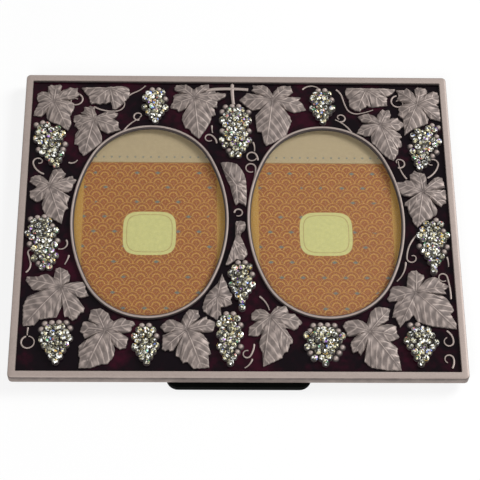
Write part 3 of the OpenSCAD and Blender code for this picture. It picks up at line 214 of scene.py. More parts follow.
        (-0.9, 3.8), (-3.4, 5.2), (-5.1, 5.5), (-9.1, 4.5), (-10.3, 2.7), (-8.9, 0), (-8.9, -1.2),
        (-8, -1.8), (-5, -1.2), (-7.3, -4.1), (-7.6, -5.1), (-6.8, -8.7), (-4.8, -8),
        (-3.9, -9.8), (-1.7, -6.4), (-2.3, -10.3), (-2.5, -12.3), (-1.2, -13.7), (0.2, -14.8),
        (5.9, -15.9), (11.5, -15.9), (10.8, -10.1), (10.2, -8.4), (10.6, -6.8), (9.9, -5.7),
        (7.4, -4.1), (9.9, -3)),
        ((11, -1.7), (8, 9.8), (-9.9, 2.8), (-6.6, -8.5), (11.2, -15.6))),
    (0.789, -0.470, ((12.1, -0.1), (11.2, 1.3), (13.4, 3.4), (10.1, 5.2), (9.4, 6.6), (8, 7.4),
        (6.2, 7.3), (4.8, 6.5), (2.7, 4.4), (3.9, 7.2), (3.5, 8.4), (2.3, 8.6), (0.9, 10.3),
        (-1.3, 9.9), (-2.5, 8.6), (-3.1, 4.9), (-3.2, 3.1), (-7.4, 3.4), (-9, 2.9), (-9.9, 1.6),
        (-10, -0.1), (-11.3, -2.5), (-10.2, -3.5), (-7, -3.2), (-8.4, -5), (-9.7, -10.3),
        (-8.4, -10.4), (-6.8, -14.6), (-4.5, -11.8), (-3.3, -11.6), (-1.4, -9.3), (0.1, -12.3),
        (1.6, -12.6), (4.8, -14), (8, -14.4), (15, -15.3), (15, -13), (13, -8.7), (14.4, -7.6),
        (14.1, -5.9), (12.3, -2.3), (10.9, -1.2), (5.9, -0.5)),
        ((13, 3.3), (1, 10), (-11, -2.6), (-6.8, -14.2), (14.8, -15.1))),
    (0.853, 0.193, ((9.5, 0.2), (9.3, 1.3), (5.9, 1.5), (9.1, 2.5), (9, 4.1), (8.3, 7.2),
        (6.6, 7.6), (4.9, 6.8), (1.9, 3.7), (1.8, 7.4), (1.1, 9), (-1.9, 9.7), (-2.8, 10.5),
        (-3.5, 9.3), (-4.8, 8.3), (-4.7, 5.4), (-6.4, 5.8), (-7.3, 4.9), (-10.5, 4.7),
        (-10.1, 2.7), (-9.6, 0.2), (-7.8, -1.4), (-5.5, -1.9), (-3, -1.6), (-7.5, -4.8),
        (-7.8, -5.9), (-6.6, -6.4), (-6, -9.8), (-5.1, -11.6), (-4.8, -13.7), (-3, -16),
        (-1.2, -14.4), (0.2, -13), (2.4, -12.3), (3.4, -11), (5, -10), (5.4, -8), (4.7, -6.2),
        (2.7, -3.3), (7.2, -6.6), (7.7, -5.3), (9.1, -4.8), (9.3, -3)),
        ((-1, 9.8), (8.1, 7), (9.3, -0.6), (7.6, -6), (-3, -15.7), (-10.2, 4.4), (-7.4, -5.3))),
    (0.674, 0.655, ((10.1, 0.4), (9.3, 1.8), (8, 2.7), (7.6, 3.8), (5.9, 4.2), (3.9, 3.3),
        (4.7, 5.2), (4.1, 8.1), (2.6, 7.5), (1.2, 8.1), (-0.8, 5.6), (-1.3, 3.8), (-2.4, 5),
        (-4.5, 5.9), (-5.9, 5.8), (-9.1, 4.5), (-7.5, 2), (-3.4, 0.6), (-7.5, 0.5), (-9, -1.9),
        (-10, -3.9), (-8.1, -4.3), (-6.3, -5.1), (-4.5, -4.9), (-3.8, -4.3), (-4.1, -5.9),
        (-3.8, -8.4), (-2.7, -9.4), (-0.2, -13), (3, -15.9), (4.8, -16.6), (6.8, -13),
        (6.9, -10.5), (8.4, -10), (8.4, -8), (7.6, -6.2), (8.7, -5.4), (8, -3.9), (5.7, -2.3),
        (7.4, -2.3), (8.4, -1.2)),
        ((9.8, 0.3), (3.6, 7.8), (-8.8, 4.3), (-9.8, -3.8), (4.8, -16.3), (8.3, -9))),
    (0.853, 0.804, ((8.3, 0.4), (9.5, 1.5), (9.6, 4.7), (9.1, 6.3), (7.4, 7), (5.9, 6.5),
        (4.7, 5.6), (4.9, 7.4), (4, 8.4), (1.1, 9.1), (-0.4, 8.1), (-0.4, 4.9), (-2.3, 7.7),
        (-3.7, 8.6), (-5.1, 7.4), (-8.4, 7.6), (-7.6, 6.3), (-7.3, 4.9), (-8, 2.9), (-6.6, 2),
        (-4.6, 1.1), (-5.9, 0.3), (-7.8, -1.9), (-7.3, -3), (-8, -4.8), (-6.9, -5.7), (-6, -6.6),
        (-6, -9), (-5.7, -12.3), (-5.9, -14.8), (-2.3, -11.9), (-1.2, -11.6), (1.6, -10.1),
        (4.1, -8.9), (4.5, -6.9), (3.4, -4.5), (5.4, -6.5), (8.1, -7.3), (9.5, -7.6), (9.6, -5.9),
        (9.5, -3), (9.1, -0.5)),
        ((9.5, 4.5), (2, 8.9), (-7.8, 7.2), (-7.6, -4.5), (-5.8, -14.4), (9, -7))),
    (0.614, 0.903, ((11.6, -0.5), (12.5, 1.1), (9.8, 1.4), (6.2, 1.4), (3, 1.4), (0.1, 1.4),
        (-3, 1.4), (-8.1, 1.5), (-8.7, -0.5), (-8.3, -2.3), (-7.2, -4.1), (-7.2, -6.2),
        (-7, -7.6), (-5.2, -9.3), (-2.7, -10), (-1.8, -8.7), (-0.2, -8), (0.1, -6.9), (0.9, -7.5),
        (2.3, -7.8), (5.1, -7.6), (8.7, -7), (8.6, -5.1), (8.9, -3.4), (8.5, -2.5), (10.1, -1.9)),
        ((12, 0.8), (-8, 0.8), (-4, -9.4), (8.2, -6.4))),
)

# Tendrils: start as shares of the half width and half height, heading in degrees, then arcs
# as radius, a share of a middling curl, and turn in degrees, left turns positive
TENDRIL_SHARES = (
    (-0.757, 0.875, -10, ((1.4, -190), (0.8, -200))),
    (-0.674, 0.781, -32, ((7, 40), (1.8, 110))),
    (-0.531, 0.841, 50, ((6, -25), (6, 25))),
    (-0.533, 0.610, 62, ((7, -37),)),
    (-0.462, 0.690, 195, ((0.85, -230), (0.5, -120))),
    (-0.096, 0.530, 95, ((2.6, 50), (0.8, 250))),
    (-0.119, 0.652, -92, ((8, 12),)),
    (-0.894, 0.309, 160, ((3.6, -55), (1.0, -150), (0.55, -150))),
    (-0.781, 0.388, -25, ((1.3, 85),)),
    (0.313, 0.917, 50, ((2.4, -85),)),
    (0.474, 0.916, -38, ((3.2, -40), (20, 8), (2.2, 80), (12, 15))),
    (0.538, 0.610, 118, ((7, 37),)),
    (0.485, 0.686, -15, ((0.85, 230), (0.5, 120))),
    (0.760, 0.875, 190, ((1.4, 190), (0.8, 200))),
    (0.783, 0.290, 128, ((7, -36),)),
    (0.747, 0.367, -20, ((1.0, 220), (0.5, 100))),
    (0.074, 0.536, -68, ((4, -30),)),
    (0.095, 0.413, 88, ((2.4, 35), (1.0, 300))),
    (0.072, 0.261, 70, ((9, 22), (1.0, 290))),
    (0.881, 0.297, 30, ((5, 45), (1.1, 150), (0.6, 150))),
    (-0.016, 0.055, 90, ((0.8, -290),)),
    (-0.947, -0.342, 40, ((2.2, 60), (10, 12), (0.75, -250))),
    (-0.775, -0.133, -55, ((1.3, -140),)),
    (-0.760, -0.232, -100, ((6, -20),)),
    (-0.923, -0.690, -98, ((9, 10),)),
    (-0.931, -0.745, 200, ((1.25, 330),)),
    (0.094, -0.490, -38, ((5, -40),)),
    (0.067, -0.787, -92, ((5, -30), (0.75, -250))),
    (0.058, -0.878, -105, ((3, -45),)),
    (0.814, -0.087, -135, ((8, 42), (0.9, 200), (0.5, 100))),
    (0.754, -0.267, -92, ((6, -45),)),
    (0.946, -0.500, 88, ((20, 14), (0.85, 290))),
    (0.942, -0.232, -75, ((6, -20),)),
    (0.917, -0.701, -35, ((2.6, -60), (0.9, -240))),
    (0.929, -0.928, 60, ((3, 40), (0.85, 230))),
)
# Stems, in the same way
STEM_SHARES = (
    (-0.146, 0.899, 20, ((8, -16), (40, -9))),
    (-0.022, 0.945, -92, ((30, 9),)),
)

# Grape bunches: centre as shares of the half width and half height, width and length as
# shares of a middling bunch's length, then the tilt in degrees
BUNCH_SHARES = (
    (-0.387, 0.791, 0.50, 0.75, 0),
    (-0.867, 0.514, 0.60, 1.00, 14),
    (-0.877, -0.148, 0.61, 1.04, 8),
    (-0.799, -0.781, 0.59, 0.79, 3),
    (-0.407, -0.790, 0.50, 0.75, 2),
    (-0.008, 0.617, 0.62, 1.08, 0),
    (0.015, -0.420, 0.47, 0.92, 0),
    (-0.039, -0.752, 0.50, 0.96, 0),
    (0.375, -0.787, 0.67, 0.77, 0),
    (0.799, -0.787, 0.58, 0.79, -3),
    (0.885, -0.162, 0.53, 1.08, -2),
    (0.875, 0.513, 0.58, 1.00, -14),
    (0.403, 0.794, 0.51, 0.75, 0),
)


@dataclass(frozen=True)
class Sizes:
    """The frame's sizes in millimetres, as its model has them."""

    frame_w: float = 175
    frame_h: float = 138
    rim_w: float = 2.9
    corner_r: float = 1.7
    bevel: float = 0.5
    field_drop: float = 1.5
    plate_t: float = 0.9
    enamel_t: float = 0.4
    sight_w: float = 60.1
    sight_h: float = 85.4
    sight_end_share: float = 0.8686
    collar_w: float = 1.9
    collar_rise: float = 0.1
    lip_w: float = 0.7
    window_gap: float = 6.4
    window_rise: float = 0.3
    glass_t: float = 1.5
    card_t: float = 0.3
    pocket_w: float = 158
    pocket_h: float = 116
    pocket_corner_r: float = 3
    board_t: float = 1.4
    stack_clear: float = 0.05
    leg_t: float = 2.6
    leg_gap: float = 0.3
    foot_overhang: float = 1.6
    leaf_len: float = 14
    leaf_crown: float = 2.1
    leaf_edge: float = 0.8
    tendril_w: float = 0.8
    tendril_h: float = 0.6
    curl_r: float = 2
    stem_w: float = 1.6
    stem_h: float = 1
    bunch_len: float = 24
    grape_r: float = 1.2
    grape_pitch: float = 2.7
    grape_h: float = 1.9
    stone_r: float = 1.08
    stone_h: float = 0.75

    @property
    def back_z(self) -> float:
        """Height of the frame's back face."""
        return self.leg_t + self.leg_gap

    @property
    def plate_z(self) -> float:
        """Height of the cast plate's underside."""
        return self.back_z + self.board_t + self.card_t + self.stack_clear

    @property
    def plate_top_z(self) -> float:
        """Height of the cast plate's top."""
        return self.plate_z + self.plate_t

    @property
    def enamel_z(self) -> float:
        """Height of the enamel's surface."""
        return self.plate_top_z + self.enamel_t

    @property
    def rim_z(self) -> float:
        """Height of the rim's top."""
        return self.enamel_z + self.field_drop

    @property
    def collar_z(self) -> float:
        """Height of the collars' tops."""
        return self.rim_z + self.collar_rise

    @property
    def lip_z(self) -> float:
        """Height of the underside of the collars' lips."""
        return self.plate_z + self.glass_t + self.stack_clear

    @property
    def centre_y(self) -> float:
        """How far the frame's middle lies above the origin."""
        return self.foot_overhang / 2

    @property
    def half_w(self) -> float:
        """Half the frame's width."""
        return self.frame_w / 2

    @property
    def half_h(self) -> float:
        """Half the frame's height."""
        return self.frame_h / 2

    @property
    def field_w(self) -> float:
        """Width of the field inside the rim."""
        return self.frame_w - 2 * self.rim_w

    @property
    def field_h(self) -> float:
        """Height of the field inside the rim."""
        return self.frame_h - 2 * self.rim_w

    @property
    def window_x(self) -> float:
        """Distance of a window's centre from the middle line."""
        return self.window_gap / 2 + self.collar_w + self.sight_w / 2

    def place(self, x_share: float, y_share: float) -> Flat:
        """Return the point at these shares of the half width and half height."""
        return x_share * self.half_w, y_share * self.half_h


SIZES = Sizes()


def leaf_mm(squares: Sequence[Flat] | Flat) -> np.ndarray:
    """Return a leaf's places, given in squares of the drawing, in millimetres."""
    return np.array(squares) * SIZES.leaf_len / LEAF_SQUARES


@dataclass(frozen=True)
class LeafShape:
    """One leaf: its place, its outline, and where its main veins part and end."""

    x_share: float
    y_share: float
    corner_shares: tuple[Flat, ...]
    vein_shares: tuple[Flat, ...]
    root_shares: Flat = (0.0, 0.0)

    @property
    def place(self) -> Flat:
        """The point that the outline is measured from."""
        return SIZES.place(self.x_share, self.y_share)

    @property
    def corners(self) -> np.ndarray:
        """The outline's corners, from the leaf's place."""
        return leaf_mm(self.corner_shares)

    @property
    def root(self) -> np.ndarray:
        """Where the main veins part, from the leaf's place."""
        return leaf_mm(self.root_shares)

    @property
    def veins(self) -> np.ndarray:
        """The ends of the main veins, from where they part."""
        return leaf_mm(self.vein_shares)

    @property
    def directions(self) -> np.ndarray:
        """The corners' directions in degrees, rising from that of the first."""
        angles = np.degrees(np.arctan2(self.corners[:, 1], self.corners[:, 0]))
        return np.where(angles < angles[0], angles + 360, angles)

    def reach(self, angle: float) -> float:
        """Return about how far the leaf reaches in a direction.

        Args:
            angle: The direction in degrees, from -180 up.

        Returns:
            The distance of its edge from its place.
        """
        at, far = self.directions, np.hypot(*self.corners.T)
        turned_up = angle + 360 if angle < at[0] else angle
        return float(np.interp(turned_up, [*at, at[0] + 360], [*far, far[0]]))

    def edge(self, spacing: float) -> np.ndarray:
        """Return points along the outline, its corners among them.

        Args:
            spacing: The largest distance from a point to the next.

        Returns:
            The points, from the leaf's place.
        """
        ring, out = self.corners, []
        for k, start in enumerate(ring):
            end = ring[(k + 1) % len(ring)]
            steps = max(1, math.ceil(np.hypot(*(end - start)) / spacing))
            out += [start + (end - start) * j / steps for j in range(steps)]
        return np.array(out)


LEAVES = [LeafShape(*shares) for shares in LEAF_SHARES]


@dataclass(frozen=True)
class Oval:
    """A window's oval: two flat arcs and two round ones that meet without a corner."""

    width: float = SIZES.sight_w
    height: float = SIZES.sight_h
    end_r: float = SIZES.sight_end_share * SIZES.sight_w / 2

    @property
    def side_r(self) -> float:
        """Radius of the flat arcs at the sides."""
        a, b = self.width / 2, self.height / 2
        return (a * a + b * b - 2 * b * self.end_r) / (2 * (a - self.end_r))

    @property
    def side_off(self) -> float:
        """Distance of a flat arc's hub from the oval's centre."""
        return self.side_r - self.width / 2

    @property
    def end_off(self) -> float:
        """Distance of a round arc's hub from the oval's centre."""
        return self.height / 2 - self.end_r

    @property
    def angle(self) -> float:
        """Half the angle of a flat arc, in degrees."""
        return math.degrees(math.atan2(self.end_off, self.side_off))

    def points(self, grow: float, steps: int = 24) -> list[Flat]:
        """Return the outline.

        Args:
            grow: How far outside the sight opening the outline lies.
            steps: Points on each of the four arcs.

        Returns:
            The points, left turn all the way.
        """
        a = self.angle
        arcs = (
            (-self.side_off, 0.0, self.side_r, -a, a),
            (0.0, self.end_off, self.end_r, a, 180 - a),
            (self.side_off, 0.0, self.side_r, 180 - a, 180 + a),
            (0.0, -self.end_off, self.end_r, 180 + a, 360 - a),
        )
        out = []
        for x, y, r, start, end in arcs:
            for k in range(steps):
                dx, dy = turned((r + grow, 0), mix(start, end, k / steps))
                out.append((x + dx, y + dy))
        return out

    def outside(self, point: Flat) -> float:
        """Return how far a point lies outside the edge.

        Args:
            point: The point, from the oval's centre.

        Returns:
            The distance, negative inside.
        """
        dx, dy = abs(point[0]), abs(point[1])
        if math.degrees(math.atan2(dy, dx + self.side_off)) < self.angle:
            return math.hypot(dx + self.side_off, dy) - self.side_r
        return math.hypot(dx, dy - self.end_off) - self.end_r


def windows() -> list[Flat]:
    """Return the centres of the two windows."""
    return [(side * SIZES.window_x, SIZES.window_rise) for side in (-1, 1)]


def clears_windows(x: float, y: float, margin: float) -> bool:
    """Return whether a point lies more than a margin outside both sight openings."""
    return all(Oval().outside((x - cx, y - cy)) > margin for cx, cy in windows())


def round_box(width: float, height: float, r: float, steps: int = 6, along: int = 1
              ) -> list[Flat]:
    """Return the outline of a rectangle with round corners.

    Args:
        width: Its width.
        height: Its height.
        r: Its corners' radius.
        steps: Points on each corner.
        along: Pieces that each straight side is cut into.

    Returns:
        The points, left turn all the way.
    """
    rounds = []
    for k, (sx, sy) in enumerate(((1, 1), (-1, 1), (-1, -1), (1, -1))):
        x, y = sx * (width / 2 - r), sy * (height / 2 - r)
        arc = [turned((r, 0), 90 * (k + j / steps)) for j in range(steps + 1)]
        rounds.append([(x + dx, y + dy) for dx, dy in arc])
    out: list[Flat] = []
    for k, corner in enumerate(rounds):
        out += corner
        end, start = corner[-1], rounds[(k + 1) % 4][0]
        out += [
            (mix(end[0], start[0], j / along), mix(end[1], start[1], j / along))
            for j in range(1, along)
        ]
    return out


# Meshes


def wall(rows: int, n: int, first: int = 0) -> list[tuple[int, ...]]:
    """Return the faces that join rings of points, each to the next.

    Args:
        rows: How many rings there are.
        n: How many points each has.
        first: The number of the first ring's first point.

    Returns:
        The faces, ring by ring.
    """
    starts = range(first, first + (rows - 1) * n, n)
    pairs = [(base + k, base + (k + 1) % n) for base in starts for k in range(n)]
    return [(a, a + n, b + n, b) for a, b in pairs]


@dataclass
class MeshMaker:
    """Gathers points, faces and masks in millimetres and turns them into one piece."""

    name: str
    points: list[Point] = field(default_factory=list)
    faces: list[tuple[int, ...]] = field(default_factory=list)
    # How much painted shade and patina darken each point
    recess: list[float] = field(default_factory=list)
    # Painted glints: a colour on each face of the stones that stands for the light they throw back
    glint_colours: list[Colour] = field(default_factory=list)

    def add(self, points: Iterable[Point], faces: Iterable[Sequence[int]],
            recess: float | Sequence[float] = 0.0) -> None:
        """Add points and the faces between them.

        Args:
            points: The new points.
            faces: Faces that count the new points from 0.
            recess: How much painted shade and patina darken the points, from 0 to 1.
        """
        base, new = len(self.points), list(points)
        self.points += new
        self.faces += [tuple(base + i for i in face) for face in faces]
        if isinstance(recess, (int, float)):
            self.recess += [float(recess)] * len(new)
        else:
            self.recess += list(recess)

    def loops(self, rows: Sequence[Sequence[Point]], recess: Sequence[float],
              closed: bool = False) -> None:
        """Join rings of points, each to the next.

        Args:
            rows: The rings, all with as many points, left turn seen from outside the top.
            recess: A mask value for each ring.
            closed: Whether the last ring joins the first.
        """
        n, m = len(rows[0]), len(rows)
        faces = []
        for j in range(m if closed else m - 1):
            for k in range(n):
                a, b = j * n + k, j * n + (k + 1) % n
                c, d = (j + 1) % m * n + k, (j + 1) % m * n + (k + 1) % n
                faces.append((a, b, d, c))
        self.add([p for row in rows for p in row], faces,
                 [recess[j] for j in range(m) for _ in range(n)])

    def build(self, material: bpy.types.Material, slot: Slot, sharp: float = 35.0
              ) -> bpy.types.Object:
        """Make the piece.

        Args:
            material: Its finish.
            slot: The slot that the finish stands for; not used.
            sharp: Edges that turn more than this many degrees stay sharp.

        Returns:
            The new object.
        """
        mesh = bpy.data.meshes.new(self.name)
        places = np.array(self.points, float)
        places[:, 1] += SIZES.centre_y
        mesh.from_pydata((places * MM).tolist(), [], self.faces)
        # The mask of painted shade and patina, read by the metal finish
        mask = mesh.attributes.new("recess", "FLOAT", "POINT")
        mask.data.foreach_set("value", np.array(self.recess, np.float32))
        # The stones' painted glints, one colour for each face
        if self.glint_colours:
            glint_colour = mesh.attributes.new("glint_colour", "FLOAT_COLOR", "FACE")
            rows = np.ones((len(self.glint_colours), 4), np.float32)
            rows[:, :3] = self.glint_colours
            glint_colour.data.foreach_set("color", rows.ravel())
        mesh.polygons.foreach_set("use_smooth", [True] * len(mesh.polygons))
        mesh.set_sharp_from_angle(angle=math.radians(sharp))
        mesh.materials.append(material)
        mesh.update()
        piece = bpy.data.objects.new(self.name, mesh)
        bpy.context.scene.collection.objects.link(piece)
        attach(piece, BODY)
        LOG.info("%s: %d faces", self.name, len(mesh.polygons))
        return piece


@dataclass(frozen=True)
class PiercedSheet:
    """A flat sheet with the two windows cut out of it."""

    width: float
    height: float
    corner_r: float
    grow: float
    low: float
    high: float
    spacing: float = 6.0
    slack: float = 0.02
    weld: float = 1e-5

    @property
    def outline(self) -> list[Flat]:
        """The sheet's edge, left turn all the way."""
        return round_box(self.width, self.height, self.corner_r)

    def strewn(self) -> list[Flat]:
        """Strew points over the sheet, which keep its triangles small.

        Returns:
            The points.
        """
        xs, ys = [p[0] for p in self.outline], [p[1] for p in self.outline]
        across, up = (
            np.arange(min(ends) + self.spacing, max(ends) - self.spacing / 2, self.spacing)
            for ends in (xs, ys)
        )
        return [(float(x), float(y)) for x in across for y in up
                if clears_windows(x, y, self.grow + self.spacing / 3)]

    def add_to(self, maker: MeshMaker) -> None:
        """Add the sheet to a mesh.

        Args:
            maker: The mesh that gets the sheet.
        """
        cuts = [[(x + cx, y + cy) for x, y in Oval().points(self.grow)] for cx, cy in windows()]
        flat: list[Flat] = []
        edges: list[tuple[int, int]] = []
        for ring in (self.outline, *cuts):
            base, n = len(flat), len(ring)
            flat += ring
            edges += [(base + k, base + (k + 1) % n) for k in range(n)]
        places, _, triangles, *_ = delaunay_2d_cdt(
            [Vector(p) for p in flat + self.strewn()], edges, [], 0, self.weld)
        kept = []
        for face in triangles:
            x, y = (sum(places[i][way] for i in face) / 3 for way in (0, 1))
            if clears_windows(x, y, self.grow - self.slack):
                kept.append(tuple(face))
        n = len(places)
        points = [(p.x, p.y, z) for z in (self.low, self.high) for p in places]
        faces: list[tuple[int, ...]] = [tuple(i + n for i in face) for face in kept]
        faces += [tuple(reversed(face)) for face in kept]
        sides = {(face[k], face[(k + 1) % 3]) for face in kept for k in range(3)}
        faces += [(a, b, b + n, a + n) for a, b in sides if (b, a) not in sides]
        maker.add(points, faces)


# Finishes


@dataclass
class Bench:
    """Lays out the nodes of one shader tree."""

    tree: bpy.types.NodeTree

    def node(self, kind: str, **values: object) -> bpy.types.Node:
        """Make a node.

        Args:
            kind: Blender's name of the node type.
            values: Properties of the node.

        Returns:
            The node.
        """
        made = self.tree.nodes.new(kind)
        for name, value in values.items():
            setattr(made, name, value)
        return made

    def feed(self, socket: Socket, value: object) -> None:
        """Link an output to the socket, or set the socket to a plain value.

        Args:
            socket: The socket that gets the value.
            value: An output, a number or a colour.
        """
        if isinstance(value, Socket):
            self.tree.links.new(value, socket)
        elif isinstance(value, tuple) and len(value) == 3 and socket.type == "RGBA":
            socket.default_value = (*value, 1.0)
        else:
            socket.default_value = value

    def put(self, node: bpy.types.Node, values: dict[int | str, object]) -> None:
        """Feed a node's inputs, given by name or by number."""
        for name, value in values.items():
            self.feed(node.inputs[name], value)

    def result(self, kind: str, output: int | str, inputs: dict[int | str, object],
               **values: object) -> Socket:
        """Make a node and feed it.

        Args:
            kind: Blender's name of the node type.
            output: The name or number of the output that is wanted.
            inputs: What goes into its inputs.
            values: Properties of the node.

        Returns:
            The output.
        """
        made = self.node(kind, **values)
        self.put(made, inputs)
        return made.outputs[output]

    def math(self, operation: str, *terms: object) -> Socket:
        """Return the result of a Math node."""
        return self.result("ShaderNodeMath", 0, dict(enumerate(terms)), operation=operation)

    def scaled(self, value: object, times: object, plus: object) -> Socket:
        """Return the value times one number plus another."""
        return self.math("MULTIPLY_ADD", value, times, plus)

    def off(self, value: object, middle: float) -> Socket:
        """Return how far the value is from a middle one, either way."""
        return self.math("ABSOLUTE", self.math("SUBTRACT", value, middle))

    def far(self, x: object, y: object) -> Socket:
        """Return how far a flat point is from the origin."""
        return self.math("SQRT", self.scaled(x, x, self.math("MULTIPLY", y, y)))

    def ramp(self, value: object, low: float, high: float, to_low: float = 0.0,
             to_high: float = 1.0) -> Socket:
        """Return the value carried smoothly from the range low to high to another range."""
        ends = {"From Min": low, "From Max": high, "To Min": to_low, "To Max": to_high}
        return self.result("ShaderNodeMapRange", "Result", {"Value": value, **ends},
                           interpolation_type="SMOOTHSTEP")

    def blend(self, share: object, first: object, second: object, kind: str = "MIX") -> Socket:
        """Return two colours mixed, with that share of the second."""
        return self.result("ShaderNodeMix", 2, {0: share, 6: first, 7: second},
                           data_type="RGBA", blend_type=kind)

    def toned(self, colour: object, tone: object) -> Socket:
        """Return the colour times a grey of that tone."""
        grey = self.result("ShaderNodeCombineColor", 0, {0: tone, 1: tone, 2: tone})
        return self.blend(1.0, colour, grey, "MULTIPLY")

    def noise(self, where: object, scale: float, detail: float, roughness: float) -> Socket:
        """Return a noise pattern, from 0 to 1, that changes scale times in a metre."""
        look = {"Scale": scale, "Detail": detail, "Roughness": roughness}
        return self.result("ShaderNodeTexNoise", "Fac", {"Vector": where, **look})

    def bump(self, height: object, strength: float, depth: float) -> Socket:
        """Return the normal that a height pattern of a depth in millimetres gives."""
        look = {"Height": height, "Strength": strength, "Distance": depth * MM}
        return self.result("ShaderNodeBump", "Normal", look)

    def place(self) -> Socket:
        """Return the point on the piece, in metres."""
        return self.node("ShaderNodeTexCoord").outputs["Object"]

    def cover(self, share: object, own: bpy.types.Node, other: bpy.types.Node) -> None:
        """Lay another shader over the material's own.

        Args:
            share: How much of the other shader shows.
            own: The material's own shader.
            other: The other shader.
        """
        parts = {0: share, 1: own.outputs[0], 2: other.outputs[0]}
        out = next(n for n in self.tree.nodes if n.type == "OUTPUT_MATERIAL")
        self.feed(out.inputs["Surface"], self.result("ShaderNodeMixShader", 0, parts))


def blank_material(name: str) -> tuple[bpy.types.Material, Bench, bpy.types.Node]:
    """Make a material that holds one Principled shader.

    Args:
        name: The material's name.

    Returns:
        The material, a bench on its tree and the shader.
    """
    material = bpy.data.materials.new(name)
    material.use_nodes = True
    tree = material.node_tree
    tree.nodes.clear()
    bench = Bench(tree)
    shader = bench.node("ShaderNodeBsdfPrincipled")
    out = bench.node("ShaderNodeOutputMaterial")
    tree.links.new(shader.outputs[0], out.inputs["Surface"])
    return material, bench, shader


class Effects:
    """Shader node groups that more than one finish uses, each built once."""

    groups: dict[str, bpy.types.NodeTree] = {}

    @classmethod
    def use(cls, bench: Bench, name: str, **values: object) -> bpy.types.Node:
        """Put a group into a tree.

        Args:
            bench: The tree that gets the group.
            name: The group's name, which is also the name of the method that makes it.
            values: What goes into its inputs.

        Returns:
            The group's node.
        """
        if name not in cls.groups:
            cls.groups[name] = getattr(cls, name)()
        node = bench.node("ShaderNodeGroup", node_tree=cls.groups[name])
        bench.put(node, {key.capitalize(): value for key, value in values.items()})
        return node

    @staticmethod
    def start(name: str, inputs: Sequence[tuple[str, str]], outputs: Sequence[tuple[str, str]]
              ) -> tuple[bpy.types.NodeTree, Bench, bpy.types.Node, bpy.types.Node]:
        """Make an empty group.

        Args:
            name: The group's name.
            inputs: Name and kind of each input.
            outputs: Name and kind of each output.

        Returns:
            The tree, a bench on it, and its input and output nodes.
        """
        tree = bpy.data.node_groups.new(name, "ShaderNodeTree")
        for way, sockets in (("INPUT", inputs), ("OUTPUT", outputs)):
            for title, kind in sockets:
                tree.interface.new_socket(name=title, in_out=way, socket_type="NodeSocket" + kind)
        bench = Bench(tree)
        return tree, bench, bench.node("NodeGroupInput"), bench.node("NodeGroupOutput")

    @classmethod
    def patina_and_shade(cls) -> bpy.types.NodeTree:
        """Darken a finish where its mask paints shade and the patina of antiqued metal, and mottle
        the rest.

        Returns:
            The group: Clean, Dark and Recess in, Colour and Mask out.
        """
        tree, bench, given, result = cls.start(
            "patina_and_shade",
            (("Clean", "Color"), ("Dark", "Color"), ("Recess", "Float")),
            (("Colour", "Color"), ("Mask", "Float")),
        )
        where = bench.place()
        cloud = bench.noise(where, scale=260, detail=4, roughness=0.6)
        speck = bench.noise(where, scale=1500, detail=2, roughness=0.6)
        # Painted shade and patina: the mask carries the clean colour towards the dark one
        edge = bench.scaled(cloud, times=0.35, plus=given.outputs["Recess"])
        mask = bench.ramp(edge, low=0.30, high=1.0)
        even = bench.blend(mask, given.outputs["Clean"], given.outputs["Dark"])
        worn = bench.toned(even, bench.scaled(speck, times=0.30, plus=0.85))
        bench.put(result, {"Colour": worn, "Mask": mask})
        return tree

    @classmethod
    def grain(cls) -> bpy.types.NodeTree:
        """Lay a fine cast or brushed grain over slow unevenness.

        Returns:
            The group: Fine and Slow, the two shares, in, and Height out.
        """
        tree, bench, given, result = cls.start(
            "grain", (("Fine", "Float"), ("Slow", "Float")), (("Height", "Float"),)
        )
        where = bench.place()
        sand = bench.noise(where, scale=2600, detail=2, roughness=0.6)
        fine = bench.math("MULTIPLY", sand, given.outputs["Fine"])
        slow = bench.noise(where, scale=240, detail=3, roughness=0.5)
        bench.put(result, {"Height": bench.scaled(slow, given.outputs["Slow"], fine)})
        return tree


@dataclass(frozen=True)
class MetalFinish:
    """A cast or drawn metal with patina and painted shade in its recesses."""

    name: str
    clean: Colour
    dark: Colour
    metallic: float = 0.3
    rough: float = 0.5
    rougher: float = 0.25
    relief: float = 0.12

    def make(self) -> bpy.types.Material:
        """Make the metal, rougher where it is dark.

        Returns:
            The material.
        """
        material, bench, shader = blank_material(self.name)
        # The recess mask paints shade, and the patina of antiqued metal, into hollows, shaded
        # walls and undersides
        recess = bench.node("ShaderNodeAttribute", attribute_name="recess").outputs["Fac"]
        coat = Effects.use(bench, "patina_and_shade", clean=self.clean, dark=self.dark, recess=recess)
        grain = Effects.use(bench, "grain", fine=0.35, slow=1.0)
        bench.put(shader, {
            "Base Color": coat.outputs["Colour"],
            "Roughness": bench.scaled(coat.outputs["Mask"], self.rougher, self.rough),
            "Metallic": self.metallic,
            "Normal": bench.bump(grain.outputs["Height"], 0.5, self.relief),
        })
        return material


@dataclass(frozen=True)
class EnamelFinish:
    """Dark plum enamel that glows burgundy where it is thin."""

    name: str
    deep: Colour
    glow: Colour
    specular: float = 0.05
    waves: float = 0.6

    def make(self) -> bpy.types.Material:
        """Make the enamel.

        Returns:
            The material.
        """
        material, bench, shader = blank_material(self.name)
        where = bench.place()
        cloud = bench.noise(where, scale=60, detail=3, roughness=0.55)
        fleck = bench.noise(where, scale=420, detail=2, roughness=0.5)
        thin = bench.ramp(bench.scaled(fleck, times=0.3, plus=cloud), low=0.57, high=0.92)
        bench.put(shader, {
            "Base Color": bench.blend(thin, self.deep, self.glow),
            "Roughness": bench.scaled(fleck, times=0.10, plus=0.12),
            "Specular IOR Level": self.specular,
            "Normal": bench.bump(cloud, 0.35, self.waves),
        })
        return material


